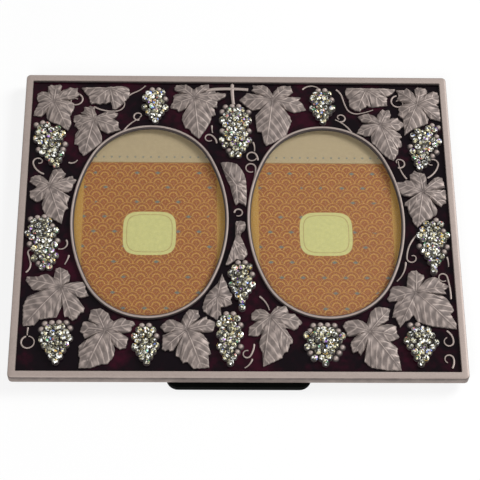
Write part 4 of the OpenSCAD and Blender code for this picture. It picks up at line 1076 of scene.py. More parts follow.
@dataclass(frozen=True)
class StoneFinish:
    """Cut stones whose facets each carry a painted glint, a colour that stands for the light they
    throw back.
    """

    name: str
    haze: Colour = srgb(226, 226, 206)
    haze_share: float = 0.05
    metallic: float = 0.2
    specular: float = 0.3
    coat: float = 0.3
    coat_rough: float = 0.02

    def make(self) -> bpy.types.Material:
        """Make the stones, whose painted glints are colours on their facets.

        Returns:
            The material.
        """
        material, bench, shader = blank_material(self.name)
        # The painted glints on the facets give the base colour
        glint_colour = bench.node("ShaderNodeAttribute", attribute_name="glint_colour").outputs["Color"]
        cloud = bench.noise(bench.place(), scale=1800, detail=1, roughness=0.5)
        haze = bench.math("MULTIPLY", cloud, self.haze_share)
        bench.put(shader, {
            "Base Color": bench.blend(haze, glint_colour, self.haze),
            "Roughness": bench.scaled(cloud, times=0.08, plus=0.03),
            "Metallic": self.metallic,
            "Specular IOR Level": self.specular,
            "Coat Weight": self.coat,
            "Coat Roughness": self.coat_rough,
        })
        return material


@dataclass(frozen=True)
class GlassFinish:
    """Clear window glass that lets the room's light through to the card."""

    name: str
    colour: Colour = (0.97, 1.0, 0.98)
    bending: float = 1.12

    def make(self) -> bpy.types.Material:
        """Make the glass, which shadow and diffuse rays don't see.

        Returns:
            The material.
        """
        material, bench, shader = blank_material(self.name)
        smear = bench.noise(bench.place(), scale=90, detail=3, roughness=0.6)
        bench.put(shader, {
            "Base Color": self.colour,
            "Transmission Weight": 1.0,
            "IOR": self.bending,
            "Roughness": bench.ramp(smear, low=0.55, high=0.8, to_high=0.04),
        })
        rays = bench.node("ShaderNodeLightPath").outputs
        light = bench.math("MAXIMUM", rays["Is Shadow Ray"], rays["Is Diffuse Ray"])
        bench.cover(light, shader, bench.node("ShaderNodeBsdfTransparent"))
        return material


@dataclass(frozen=True)
class FlockFinish:
    """Short black flock."""

    name: str
    colour: Colour
    lift: float = 1.8
    rough: float = 0.95
    specular: float = 0.05
    pile: float = 0.2

    def make(self) -> bpy.types.Material:
        """Make the flock, lighter where it is brushed up.

        Returns:
            The material.
        """
        material, bench, shader = blank_material(self.name)
        where = bench.place()
        pile = bench.noise(where, scale=3200, detail=2, roughness=0.7)
        brushed = bench.noise(where, scale=70, detail=3, roughness=0.5)
        light = bench.scaled(brushed, times=0.8, plus=bench.math("MULTIPLY", pile, 0.6))
        share = bench.ramp(light, low=0.45, high=0.95)
        lighter = tuple(self.lift * c for c in self.colour)
        bench.put(shader, {
            "Base Color": bench.blend(share, self.colour, lighter),
            "Roughness": self.rough,
            "Specular IOR Level": self.specular,
            "Normal": bench.bump(pile, 0.6, self.pile),
        })
        return material


@dataclass(frozen=True)
class CardPoint:
    """The point that the card's shader works on, in millimetres from the middle."""

    bench: Bench
    x: Socket
    y: Socket


@dataclass(frozen=True)
class PrintFinish:
    """The printed card: a dotted band, rows of scallops below it and a pale rounded panel."""

    name: str
    centre_x: float
    clay: Colour = srgb(132, 73, 28)
    ochre: Colour = srgb(164, 122, 54)
    cream: Colour = srgb(160, 141, 110)
    slate: Colour = srgb(88, 98, 98)
    pale: Colour = srgb(186, 180, 118)
    rule: Colour = srgb(120, 96, 52)
    scallop: float = 6.2
    scallop_rings: int = 4
    mark_w: float = 1.35
    mark_h: float = 1.1
    mark_x: float = 1.3
    mark_y: float = -0.8
    print_x: float = 26.75
    band_y: float = 28.0
    dot_pitch: float = 3.2
    dots_up: float = 2.6
    panel_w: float = 21.0
    panel_h: float = 19.74
    panel_y: float = -5.0
    panel_ring: float = 0.86

    def make(self) -> bpy.types.Material:
        """Make the card, printed in the order of its layers and aged.

        Returns:
            The material.
        """
        material, bench, shader = blank_material(self.name)
        split = bench.node("ShaderNodeSeparateXYZ")
        bench.feed(split.inputs[0], bench.place())
        x = bench.scaled(split.outputs[0], 1 / MM, -self.centre_x)
        y = bench.scaled(split.outputs[1], 1 / MM, -SIZES.centre_y)
        at = CardPoint(bench, x, y)
        margin = bench.ramp(bench.off(x, 0), self.print_x - 0.15, self.print_x + 0.15)
        colour = bench.blend(margin, self.scallops(at), self.ochre)
        above = bench.ramp(y, self.band_y - 0.1, self.band_y + 0.1)
        colour = bench.blend(above, colour, self.band(at))
        line = bench.ramp(bench.off(y, self.band_y), 0.15, 0.4, to_low=0.6, to_high=0.0)
        colour = bench.blend(line, colour, self.rule)
        colour = self.panel(at, colour)
        fibre = bench.noise(bench.place(), scale=700, detail=4, roughness=0.7)
        aged = bench.ramp(fibre, 0.2, 0.9, to_low=0.86, to_high=1.08)
        bench.put(shader, {
            "Base Color": bench.toned(colour, aged),
            "Roughness": bench.scaled(fibre, times=0.2, plus=0.55),
            "Normal": bench.bump(fibre, 0.2, 0.1),
        })
        return material

    def scallops(self, at: CardPoint) -> Socket:
        """Return rows of scallops, each a fan of rings, with small marks on them.

        Args:
            at: The point on the card.

        Returns:
            The colour.
        """
        bench, colour = at.bench, self.clay
        for row in (1, 0):
            up = bench.scaled(at.y, 1 / self.scallop, row / 2)
            along = bench.scaled(at.x, 1 / self.scallop, row / 2)
            from_middle = bench.math("SUBTRACT", bench.math("FRACT", along), 0.5)
            r = bench.far(from_middle, bench.math("FRACT", up))
            waves = bench.math("COSINE", bench.math("MULTIPLY", r, math.tau * self.scallop_rings))
            fan = bench.blend(bench.ramp(waves, 0.1, 0.8), self.clay, self.ochre)
            inside = bench.ramp(r, 0.49, 0.51, to_low=1.0, to_high=0.0)
            colour = bench.blend(inside, colour, fan)
        return bench.blend(self.marks(at), colour, self.slate)

    def marks(self, at: CardPoint) -> Socket:
        """Return small lozenges in staggered rows, some of which are left out.

        Args:
            at: The point on the card.

        Returns:
            How strongly a lozenge shows.
        """
        bench, wide, tall = at.bench, self.mark_w * self.scallop, self.mark_h * self.scallop
        up = bench.math("SUBTRACT", at.y, self.mark_y)
        row = bench.math("FLOOR", bench.math("DIVIDE", up, tall))
        shift = bench.scaled(bench.math("MODULO", row, 2.0), wide / 2, at.x)
        gx = bench.math("PINGPONG", bench.math("ADD", shift, self.mark_x), wide / 2)
        gy = bench.off(bench.scaled(row, -tall, up), tall / 2)
        shape = bench.ramp(bench.scaled(gy, 1.7, gx), 1.0, 1.4, to_low=0.9, to_high=0.0)
        chance = bench.noise(bench.place(), scale=130, detail=0, roughness=0.5)
        return bench.math("MULTIPLY", shape, bench.ramp(chance, 0.44, 0.46))

    def band(self, at: CardPoint) -> Socket:
        """Return the band above the scallops, cream with a row of small dots.

        Args:
            at: The point on the card.

        Returns:
            The colour.
        """
        bench = at.bench
        r = bench.far(bench.math("PINGPONG", at.x, self.dot_pitch / 2),
                      bench.math("SUBTRACT", at.y, self.band_y + self.dots_up))
        dot = bench.ramp(r, 0.30, 0.55, to_low=0.75, to_high=0.0)
        return bench.blend(dot, self.cream, self.slate)

    def panel(self, at: CardPoint, under: Socket) -> Socket:
        """Return the colour with the pale rounded panel and its thin ring laid over it.

        Args:
            at: The point on the card.
            under: The colour that the panel lies on.

        Returns:
            The colour.
        """
        bench = at.bench
        across = bench.math("DIVIDE", at.x, self.panel_w / 2)
        up = bench.math("DIVIDE", bench.math("SUBTRACT", at.y, self.panel_y), self.panel_h / 2)
        fourth = [bench.math("POWER", bench.off(way, 0), 4) for way in (across, up)]
        r = bench.math("POWER", bench.math("ADD", *fourth), 1 / 4)
        inside = bench.ramp(r, 0.985, 1.015, to_low=1.0, to_high=0.0)
        ring = bench.ramp(bench.off(r, self.panel_ring), 0.006, 0.026, to_low=0.5, to_high=0.0)
        return bench.blend(ring, bench.blend(inside, under, self.pale), self.clay)


# Sub-assemblies


@dataclass
class Casting:
    """The rim, the plate and the two collars."""

    metal: bpy.types.Material
    sizes: Sizes = SIZES
    inner_r: float = 0.35
    above_enamel: float = 0.2
    plate_lap: float = 1.0
    plate_corner_r: float = 3.0
    bead_r: float = 0.52
    bead_in: float = 0.42
    bead_step: int = 15
    under_bead: float = 0.75

    def build(self) -> None:
        """Make the rim with its plate, and the collars."""
        self.rim()
        self.collars()

    def section(self) -> list[tuple[float, float, float, float, float]]:
        """Return the rim's section, from the plate over the rim to the pocket.

        Returns:
            Width, height, corner radius, height over the ground and mask of painted shade and
            patina of each ring.
        """
        s = self.sizes
        top, back, b = s.rim_z, s.back_z, s.bevel
        inside = [
            # Painted shade darkens the inner wall towards the enamel, and the inner top edge stays
            # lightest, a painted highlight
            (s.field_w + 2 * out, s.field_h + 2 * out, r, z, mask) for out, r, z, mask in (
                (0.0, self.inner_r, s.plate_top_z, 1.0),
                (0.0, self.inner_r, s.enamel_z + self.above_enamel, 1.0),
                (0.0, self.inner_r, top - 0.45, 0.45),
                (0.05, 0.40, top - 0.18, 0.1),
                (0.18, 0.55, top - 0.02, 0.0),
                (0.6, 0.9, top, 0.15),
            )
        ]
        outside = [
            # Painted shade darkens the outer side under the bevel
            (s.frame_w - 2 * cut, s.frame_h - 2 * cut, r, z, mask) for cut, r, z, mask in (
                (1.0, 1.0, top, 0.2),
                (b / 2, 1.5, top - 0.08, 0.1),
                (b / 8, 1.65, top - 0.24, 0.6),
                (0.0, s.corner_r, top - 0.6, 0.55),
                (0.0, s.corner_r, back + b, 0.25),
                (b, s.corner_r - b, back, 0.3),
            )
        ]
        pocket = [
            # Painted shade darkens the pocket towards the plate
            (s.pocket_w, s.pocket_h, s.pocket_corner_r, z, mask)
            for z, mask in ((back, 0.3), (s.plate_z, 1.0))
        ]
        return inside + outside + pocket

    def rim(self) -> None:
        """Make the rim with the plate and the margin at the back."""
        s, maker = self.sizes, MeshMaker("cast_rim")
        section = self.section()[::-1]
        rows = [
            [(x, y, z) for x, y in round_box(w, h, r, along=24)] for w, h, r, z, _ in section
        ]
        maker.loops(rows, [mask for *_, mask in section])
        PiercedSheet(s.pocket_w + 2 * self.plate_lap, s.pocket_h + 2 * self.plate_lap,
                     self.plate_corner_r, s.lip_w, s.plate_z, s.plate_top_z).add_to(maker)
        piece = maker.build(self.metal, Slot.METAL)
        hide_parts("frame_casting")

    def collars(self) -> None:
        """Make the raised collars round the windows, each a slim bead over a lip that painted
        shade darkens.
        """
        s, maker = self.sizes, MeshMaker("window_collars")
        r, inner = self.bead_r, self.bead_in
        arc = [turned((r, 0), a) for a in range(0, 181, self.bead_step)]
        bead = [(inner + r + x, s.collar_z - r + y) for x, y in arc]
        foot = [(s.lip_w, s.plate_z), (inner + 2 * r, s.plate_z)]
        lip = [(0.04, s.collar_z - self.under_bead), (0, s.lip_z), (s.lip_w, s.lip_z)]
        # Painted shade: the foot, the inner wall and the lip are dark, and the bead's crown is
        # light
        outer, crown, inner_side = [1.0, 0.8, 0.5], [0.25] * (len(bead) - 6), [0.5, 0.9, 1.0]
        masks = [1.0, 1.0, *outer, *crown, *inner_side, 1.0, 1.0, 1.0]
        for cx, cy in windows():
            rows = [[(x + cx, y + cy, z) for x, y in Oval().points(grow)]
                    for grow, z in foot + bead + lip]
            maker.loops(rows, masks, closed=True)
        piece = maker.build(self.metal, Slot.METAL)
        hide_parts("frame_casting")


@dataclass
class EnamelField:
    """The enamel poured on the plate."""

    enamel: bpy.types.Material
    sizes: Sizes = SIZES
    corner_r: float = 0.35
    collar_in: float = 1.4

    def build(self) -> None:
        """Make the enamel, which runs under the outer edge of the collars."""
        s, maker = self.sizes, MeshMaker("plum_field")
        PiercedSheet(s.field_w, s.field_h, self.corner_r, self.collar_in, s.plate_top_z,
                     s.enamel_z).add_to(maker)
        piece = maker.build(self.enamel, Slot.ENAMEL)
        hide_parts("enamel_field")


@dataclass
class VineLeaves:
    """The nineteen cast leaves, with veins, folds and toothed edges."""

    metal: bpy.types.Material
    sizes: Sizes = SIZES
    first_seed: int = 40
    spacing: float = 0.32
    rings: int = 32
    sharp: float = 60
    ring_power: float = 0.9
    tooth: float = 1.9
    tooth_depth: float = 0.24
    tooth_power: float = 0.8
    tooth_mean: float = 0.4
    edge_power: float = 3
    dome_low: float = 0.45
    dome_power: float = 0.8
    puff: float = 0.13
    bay: float = 0.26
    bay_power: float = 8
    vein_rise: float = 0.22
    vein_half_w: float = 0.20
    vein_reach: float = 1.02
    vein_power: float = 0.4
    side_pitch: float = 3.4
    side_slant: float = 0.80
    side_bend: float = 0.05
    side_slope: float = 0.03
    side_crest: float = 0.10
    side_half_w: float = 0.24
    side_foot: float = 0.1
    crest_at: float = 0.12
    swell: float = 0.07
    stalk: float = 0.05
    lean: float = 0.30
    over_crown: float = 0.35
    edge_drop: float = 0.15
    side_drop: float = 0.3
    in_enamel: float = 0.1
    # The painted shade and patina of the leaves: smoothing passes, the mask's middle, how fast it
    # darkens in hollows and lightens on ridges, and its most
    smoothings: int = 7
    level: float = 0.52
    valley: float = 1.4
    ridge: float = 0.19
    most: float = 0.9

    def build(self) -> None:
        """Make all the leaves as one piece."""
        maker = MeshMaker("vine_leaves")
        for number, shape in enumerate(LEAVES):
            self.leaf(maker, shape, random.Random(self.first_seed + number))
        piece = maker.build(self.metal, Slot.METAL, self.sharp)
        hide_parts("frame_casting")

    def toothed(self, edge: np.ndarray) -> np.ndarray:
        """Return the edge with pointed teeth all along it.

        Args:
            edge: Points along the outline.

        Returns:
            The points, moved out or in. Near the stalk they stay in place.
        """
        step = np.hypot(*(np.roll(edge, -1, 0) - edge).T)
        along = np.concatenate([[0.0], np.cumsum(step)[:-1]])
        count = max(1, round(step.sum() / self.tooth))
        phase = along / step.sum() * count
        wave = 1 - np.abs(2 * (phase % 1) - 1) ** self.tooth_power
        far = np.hypot(*edge.T)
        grow = self.tooth_depth * (wave - self.tooth_mean) * held(far / 5 - 0.4)
        return edge * (1 + grow / far)[:, None]

    def by_vein(self, veins: np.ndarray, px: np.ndarray, py: np.ndarray
                ) -> tuple[np.ndarray, np.ndarray, np.ndarray, np.ndarray]:
        """Find the main vein that lies nearest to each point.

        Args:
            veins: The ends of the main veins, from where they part.
            px: The points' places along X from there.
            py: Their places along Y.

        Returns:
            How far along that vein each point is, how far aside of it, the vein's length, and
            the fold, which rises from 0 on a vein to 1 halfway between two.
        """
        nearest, second = np.full(px.shape, np.inf), np.full(px.shape, np.inf)
        along, off, length = np.zeros(px.shape), np.zeros(px.shape), np.ones(px.shape)
        for x, y in veins:
            far = math.hypot(x, y)
            ahead = (px * x + py * y) / far
            aside = np.abs(py * x - px * y) / far
            gap = np.hypot(np.clip(np.abs(ahead - far / 2) - far / 2, 0, None), aside)
            closer = gap < nearest
            second = np.where(closer, nearest, np.minimum(second, gap))
            along, off = np.where(closer, ahead, along), np.where(closer, aside, off)
            length = np.where(closer, far, length)
            nearest = np.where(closer, gap, nearest)
        return along, off, length, held(nearest / np.maximum(second, 1e-6))

    def side_veins(self, along: np.ndarray, off: np.ndarray, share: np.ndarray, shift: float
                   ) -> np.ndarray:
        """Return the rise of the side veins, each with a slope up to the next.

        Args:
            along: How far along its main vein each point is.
            off: How far aside of it.
            share: How far out each point is, from 0 at the stalk to 1 at the edge.
            shift: Where the first side vein starts, as a share of their pitch.

        Returns:
            The rise in millimetres.
        """
        start = along - self.side_slant * off - self.side_bend * off ** 2
        tier = (start / self.side_pitch + shift) % 1
        # They fade out towards the stalk and towards the main vein
        inner = held(share * 2.6 - 0.4) * held((off - 0.1) / 0.4)
        crest = np.exp(-((tier - self.crest_at) * self.side_pitch / self.side_half_w) ** 2)
        slope = np.where(tier < self.side_foot, tier / self.side_foot,
                         (1 - tier) / (1 - self.side_foot))
        return (self.side_slope * slope + self.side_crest * crest - self.side_slope) * inner

    def heights(self, veins: np.ndarray, px: np.ndarray, py: np.ndarray, share: np.ndarray,
                rng: random.Random) -> np.ndarray:
        """Return the leaf's height over the enamel at each point.

        Args:
            veins: The ends of the main veins, from where they part.
            px: The points' places along X from there.
            py: Their places along Y.
            share: How far out each point is, from 0 at the stalk to 1 at the edge.
            rng: The leaf's own source of small differences.

        Returns:
            The heights in millimetres.
        """
        s = self.sizes
        along, off, length, fold = self.by_vein(veins, px, py)
        # The leaf domes up between its stalk and its edge
        crown = mix(self.dome_low, 1, np.sin(math.pi * held(share) ** self.dome_power))
        rise = (s.leaf_crown - s.leaf_edge) * (1 - share ** self.edge_power)
        dome = s.leaf_edge + rise * crown
        # It puffs up beside each main vein and sinks halfway between two
        puff = self.puff * np.sin(math.pi * held(off / (0.35 * length + 0.5)))
        puff *= held(share * 2)
        bays = -self.bay * fold ** self.bay_power * held(share * 1.8 - 0.5)
        taper = held(1 - along / (self.vein_reach * length)) ** self.vein_power
        vein = self.vein_rise * np.exp(-(off / self.vein_half_w) ** 2) * taper
        side = self.side_veins(along, off, share, rng.random())
        # No two leaves swell and lean alike
        swell = (self.swell * np.sin(1.3 * px + 6 * rng.random())
                 * np.sin(1.1 * py + 6 * rng.random()))
        stalk = self.stalk * np.exp(-(px ** 2 + py ** 2) / 0.8)
        lean = self.lean * math.sin(6.3 * rng.random()) * px / s.leaf_len
        return dome + puff + bays + vein + side + swell + stalk + lean

    def hollows(self, top: np.ndarray) -> np.ndarray:
        """Return how deep in a recess each point is, judged by the smoothed leaf over it: the mask
        paints shade and patina in hollows and leaves ridges light.

        Args:
            top: The heights, ring by ring.

        Returns:
            The mask, from 0 on a ridge up.
        """
        soft = top.copy()
        for _ in range(self.smoothings):
            ring = (np.roll(soft, 2, 1) + np.roll(soft, -2, 1) + 2 * soft) / 4
            inward = np.vstack([ring[:1], ring[:-1]])
            outward = np.vstack([ring[1:], ring[-1:]])
            soft = (ring * 2 + inward + outward) / 4
        sunk = soft - top
        hollow = np.clip(
            self.level + np.where(sunk > 0, sunk / self.valley, sunk / self.ridge), 0.0, self.most)
        # The edge ring gets a middling painted shade
        hollow[-1] = 0.5
        return hollow

    def leaf(self, maker: MeshMaker, shape: LeafShape, rng: random.Random) -> None:
        """Add one leaf.

        Args:
            maker: The mesh that gets the leaf.
            shape: Its place, outline and veins.
            rng: The source of its small differences.
        """
        s, (x0, y0), root = self.sizes, shape.place, shape.root
        edge = self.toothed(shape.edge(self.spacing))
        n = len(edge)
        share = np.linspace(0, 1, self.rings + 1)[1:, None] ** self.ring_power
        px, py = edge[None, :, 0] * share, edge[None, :, 1] * share
        spread = np.repeat(share, n, axis=1)
        top = self.heights(shape.veins, px - root[0], py - root[1], spread, rng)
        top = np.minimum(top, s.leaf_crown + self.over_crown)
        top[-1] -= self.edge_drop
        z = s.enamel_z + top
        rows = [[(x0 + px[j, k], y0 + py[j, k], z[j, k]) for k in range(n)]
                for j in range(self.rings)]
        rim = rows[-1]
        rows.append([(x, y, h - self.side_drop * s.leaf_edge) for x, y, h in rim])
        rows.append([(x, y, s.enamel_z - self.in_enamel) for x, y, _ in rim])
        # Painted shade: the leaf's side wall is darker and its foot in the enamel darkest
        masks = [0.4, *self.hollows(top).ravel().tolist(), *[0.6] * n, *[1.0] * n]
        points: list[Point] = [(x0, y0, s.enamel_z + float(top[0].mean()))]
        points += [p for row in rows for p in row]
        middle = [(0, 1 + k, 1 + (k + 1) % n) for k in range(n)]
        maker.add(points, middle + wall(len(rows), n, first=1), masks)


@dataclass
class VineTendrils:
    """Curling tendrils and woody stems, round wires that stand in the enamel."""

    metal: bpy.types.Material
    sizes: Sizes = SIZES
    sides: int = 10
    tendril_end: float = 0.6
    stem_end: float = 0.85
    point: float = 0.05
    knob: tuple[Flat, ...] = ((1.25, 0.3), (1.1, 0.7))
    half_rise: float = 0.62
    flattest: float = 0.6
    turn_step: float = 9
    longest_step: float = 0.8
    # Painted shade on each wire's underside: how dark it is there, and how much lighter its top is
    dark_below: float = 0.75
    darker: float = 0.9

    def build(self) -> None:
        """Make all the tendrils and stems as one piece."""
        s, maker = self.sizes, MeshMaker("vine_tendrils")
        for table, width, rise, end in (
            (TENDRIL_SHARES, s.tendril_w, s.tendril_h, self.tendril_end),
            (STEM_SHARES, s.stem_w, s.stem_h, self.stem_end),
        ):
            for x, y, heading, arcs in table:
                self.wire(maker, self.way(s.place(x, y), heading, arcs), width, rise, end)
        piece = maker.build(self.metal, Slot.METAL)
        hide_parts("frame_casting")

    def way(self, start: Flat, heading: float, arcs: Sequence[tuple[float, float]]
            ) -> list[Waypoint]:
        """Return points and headings along arcs laid end to end.

        Args:
            start: The first point.
            heading: Its heading in degrees.
            arcs: Radius share and turn of each arc.

        Returns:
            The place and the heading of each point.
        """
        out, at, facing = [(start[0], start[1], heading)], start, heading
        for share, turn in arcs:
            r, side = self.sizes.curl_r * share, 1 if turn > 0 else -1
            steps = max(3, round(abs(turn) / self.turn_step),
                        round(r * math.radians(abs(turn)) / self.longest_step))
            away = turned((0, side * r), facing)
            hub = (at[0] + away[0], at[1] + away[1])
            for k in range(1, steps + 1):
                a = turn * k / steps
                back = turned((0, -side * r), facing + a)
                out.append((hub[0] + back[0], hub[1] + back[1], facing + a))
            at, facing = (out[-1][0], out[-1][1]), facing + turn
        return out

    def wire(self, maker: MeshMaker, way: Sequence[Waypoint], width: float, rise: float,
             end_share: float) -> None:
        """Add one round wire, thinner towards its free end, with a small knob there.

        Args:
            maker: The mesh that gets the wire.
            way: Places and headings along it.
            width: Its width at the start.
            rise: How far it stands over the enamel.
            end_share: Its width at the free end, as a share.
        """
        n, m = len(way), self.sides
        spots = [(*way[0], self.point, -1.0)]
        spots += [(*p, mix(1, end_share, k / (n - 1)), 0.0) for k, p in enumerate(way)]
        spots += [(*way[-1], end_share * wide, ahead) for wide, ahead in self.knob]
        spots.append((*way[-1], self.point, 1.0))
        ring = [math.tau * k / m for k in range(m)]
        points = []
        for x, y, heading, share, ahead in spots:
            r = width / 2 * share
            go = turned((ahead * width / 2 * end_share, 0), heading)
            tall = rise * self.half_rise * mix(self.flattest, 1.0, share)
            for a in ring:
                side = turned((0, -r * math.cos(a)), heading)
                up = tall * min(1.0, share * 3) * math.sin(a)
                points.append((x + go[0] + side[0], y + go[1] + side[1],
                               self.sizes.enamel_z + rise - tall + up))
        ends = [tuple(range(m)), tuple(reversed(range(len(points) - m, len(points))))]
        # Painted shade: the underside of each wire is dark and its top light
        masks = [max(0.0, self.dark_below - self.darker * math.sin(a)) for a in ring]
        maker.add(points, wall(len(spots), m) + ends, masks * len(spots))


@dataclass
class Bunch:
    """One bunch of grapes: where each grape stands and whether a stone is set on it."""

    x_share: float
    y_share: float
    width_share: float
    length_share: float
    tilt: float
    sizes: Sizes = SIZES
    broad_angle: float = 36
    tip_angle: float = 170
    fullness: float = 0.7
    crowding: float = 1.35
    plain_from: float = 0.6
    plain_every: int = 4
    side_fall: float = 0.5
    end_fall: float = 0.3
    top_share: float = 0.4

    def half_share(self, t: float) -> float:
        """Return the bunch's half width at a share of its length, as a share."""
        return math.sin(math.radians(mix(self.broad_angle, self.tip_angle, t))) ** self.fullness

    @property
    def length(self) -> float:
        """The bunch's length."""
        return self.sizes.bunch_len * self.length_share

    @property
    def half_width(self) -> float:
        """Half the bunch's width."""
        return self.sizes.bunch_len * self.width_share / 2

    def spots(self) -> list[tuple[Flat, float, bool]]:
        """Return each grape's centre, the height of its seat, and whether it is plain.

        Returns:
            The grapes, row by row from the bunch's broad end.
        """
        s, out = self.sizes, []
        inner_length = self.length - 2 * s.grape_r
        rows = math.floor(inner_length / (s.grape_pitch * math.sqrt(3) / 2) + 0.5)
        centre = s.place(self.x_share, self.y_share)
        for row in range(rows + 1):
            t = row / rows
            half = self.half_width * self.half_share(t) - s.grape_r
            fit = math.floor(2 * max(0.0, half) / s.grape_pitch + self.crowding)
            count = max(1, fit - (fit + row) % 2)
            for k in range(count):
                across = (k - (count - 1) / 2) * s.grape_pitch
                dx, dy = turned((across, inner_length * (0.5 - t)), self.tilt)
                edge = min(1.0, abs(across) / (half + s.grape_r))
                outer = edge > self.plain_from and (row + k) % self.plain_every == 1
                spot = (centre[0] + dx, centre[1] + dy)
                if self.is_clear(spot):
                    fall = (self.side_fall * edge ** 2, self.end_fall * abs(t - self.top_share))
                    z = s.enamel_z + s.grape_h * (1 - fall[0] - fall[1])
                    out.append((spot, z, row == 0 or outer))
        return out

    def is_clear(self, p: Flat) -> bool:
        """Return whether a grape misses the rim, the collars and the leaves.

        Args:
            p: Its centre.

        Returns:
            True where there is room for it.
        """
        s = self.sizes
        gap = s.grape_r + (s.grape_pitch - 2 * s.grape_r) / 3
        in_field = abs(p[0]) < s.field_w / 2 - gap and abs(p[1]) < s.field_h / 2 - gap
        return (in_field and clears_windows(*p, s.collar_w + gap)
                and all(self.misses_leaf(p, leaf) for leaf in LEAVES))

    def misses_leaf(self, p: Flat, leaf: LeafShape) -> bool:
        """Return whether a grape misses a leaf.

        Args:
            p: The grape's centre.
            leaf: The leaf.

        Returns:
            True where the grape stands clear of it.
        """
        dx, dy = p[0] - leaf.place[0], p[1] - leaf.place[1]
        reach = leaf.reach(math.degrees(math.atan2(dy, dx)))
        return math.hypot(dx, dy) > reach + self.sizes.grape_r


class Glint(Enum):
    """A painted glint: the light that a group of facets throws back, painted as its colour, and
    how often it comes.
    """

    WHITE = (srgb(255, 255, 250), 17)
    STRAW = (srgb(214, 206, 164), 12)
    GREY = (srgb(150, 146, 128), 15)
    OLIVE = (srgb(92, 86, 58), 20)
    DARK = (srgb(22, 20, 18), 46)
    BLUE = (srgb(120, 146, 226), 1.2)
    VIOLET = (srgb(150, 104, 190), 1.2)
    GREEN = (srgb(110, 190, 140), 0.8)
    ROSE = (srgb(206, 120, 110), 0.9)
    GOLD = (srgb(206, 170, 80), 2.5)

    @classmethod
    def pick(cls, rng: random.Random) -> Colour:
        """Return the colour of one glint, drawn by how often each comes."""
        return rng.choices(list(cls), [glint.value[1] for glint in cls])[0].value[0]


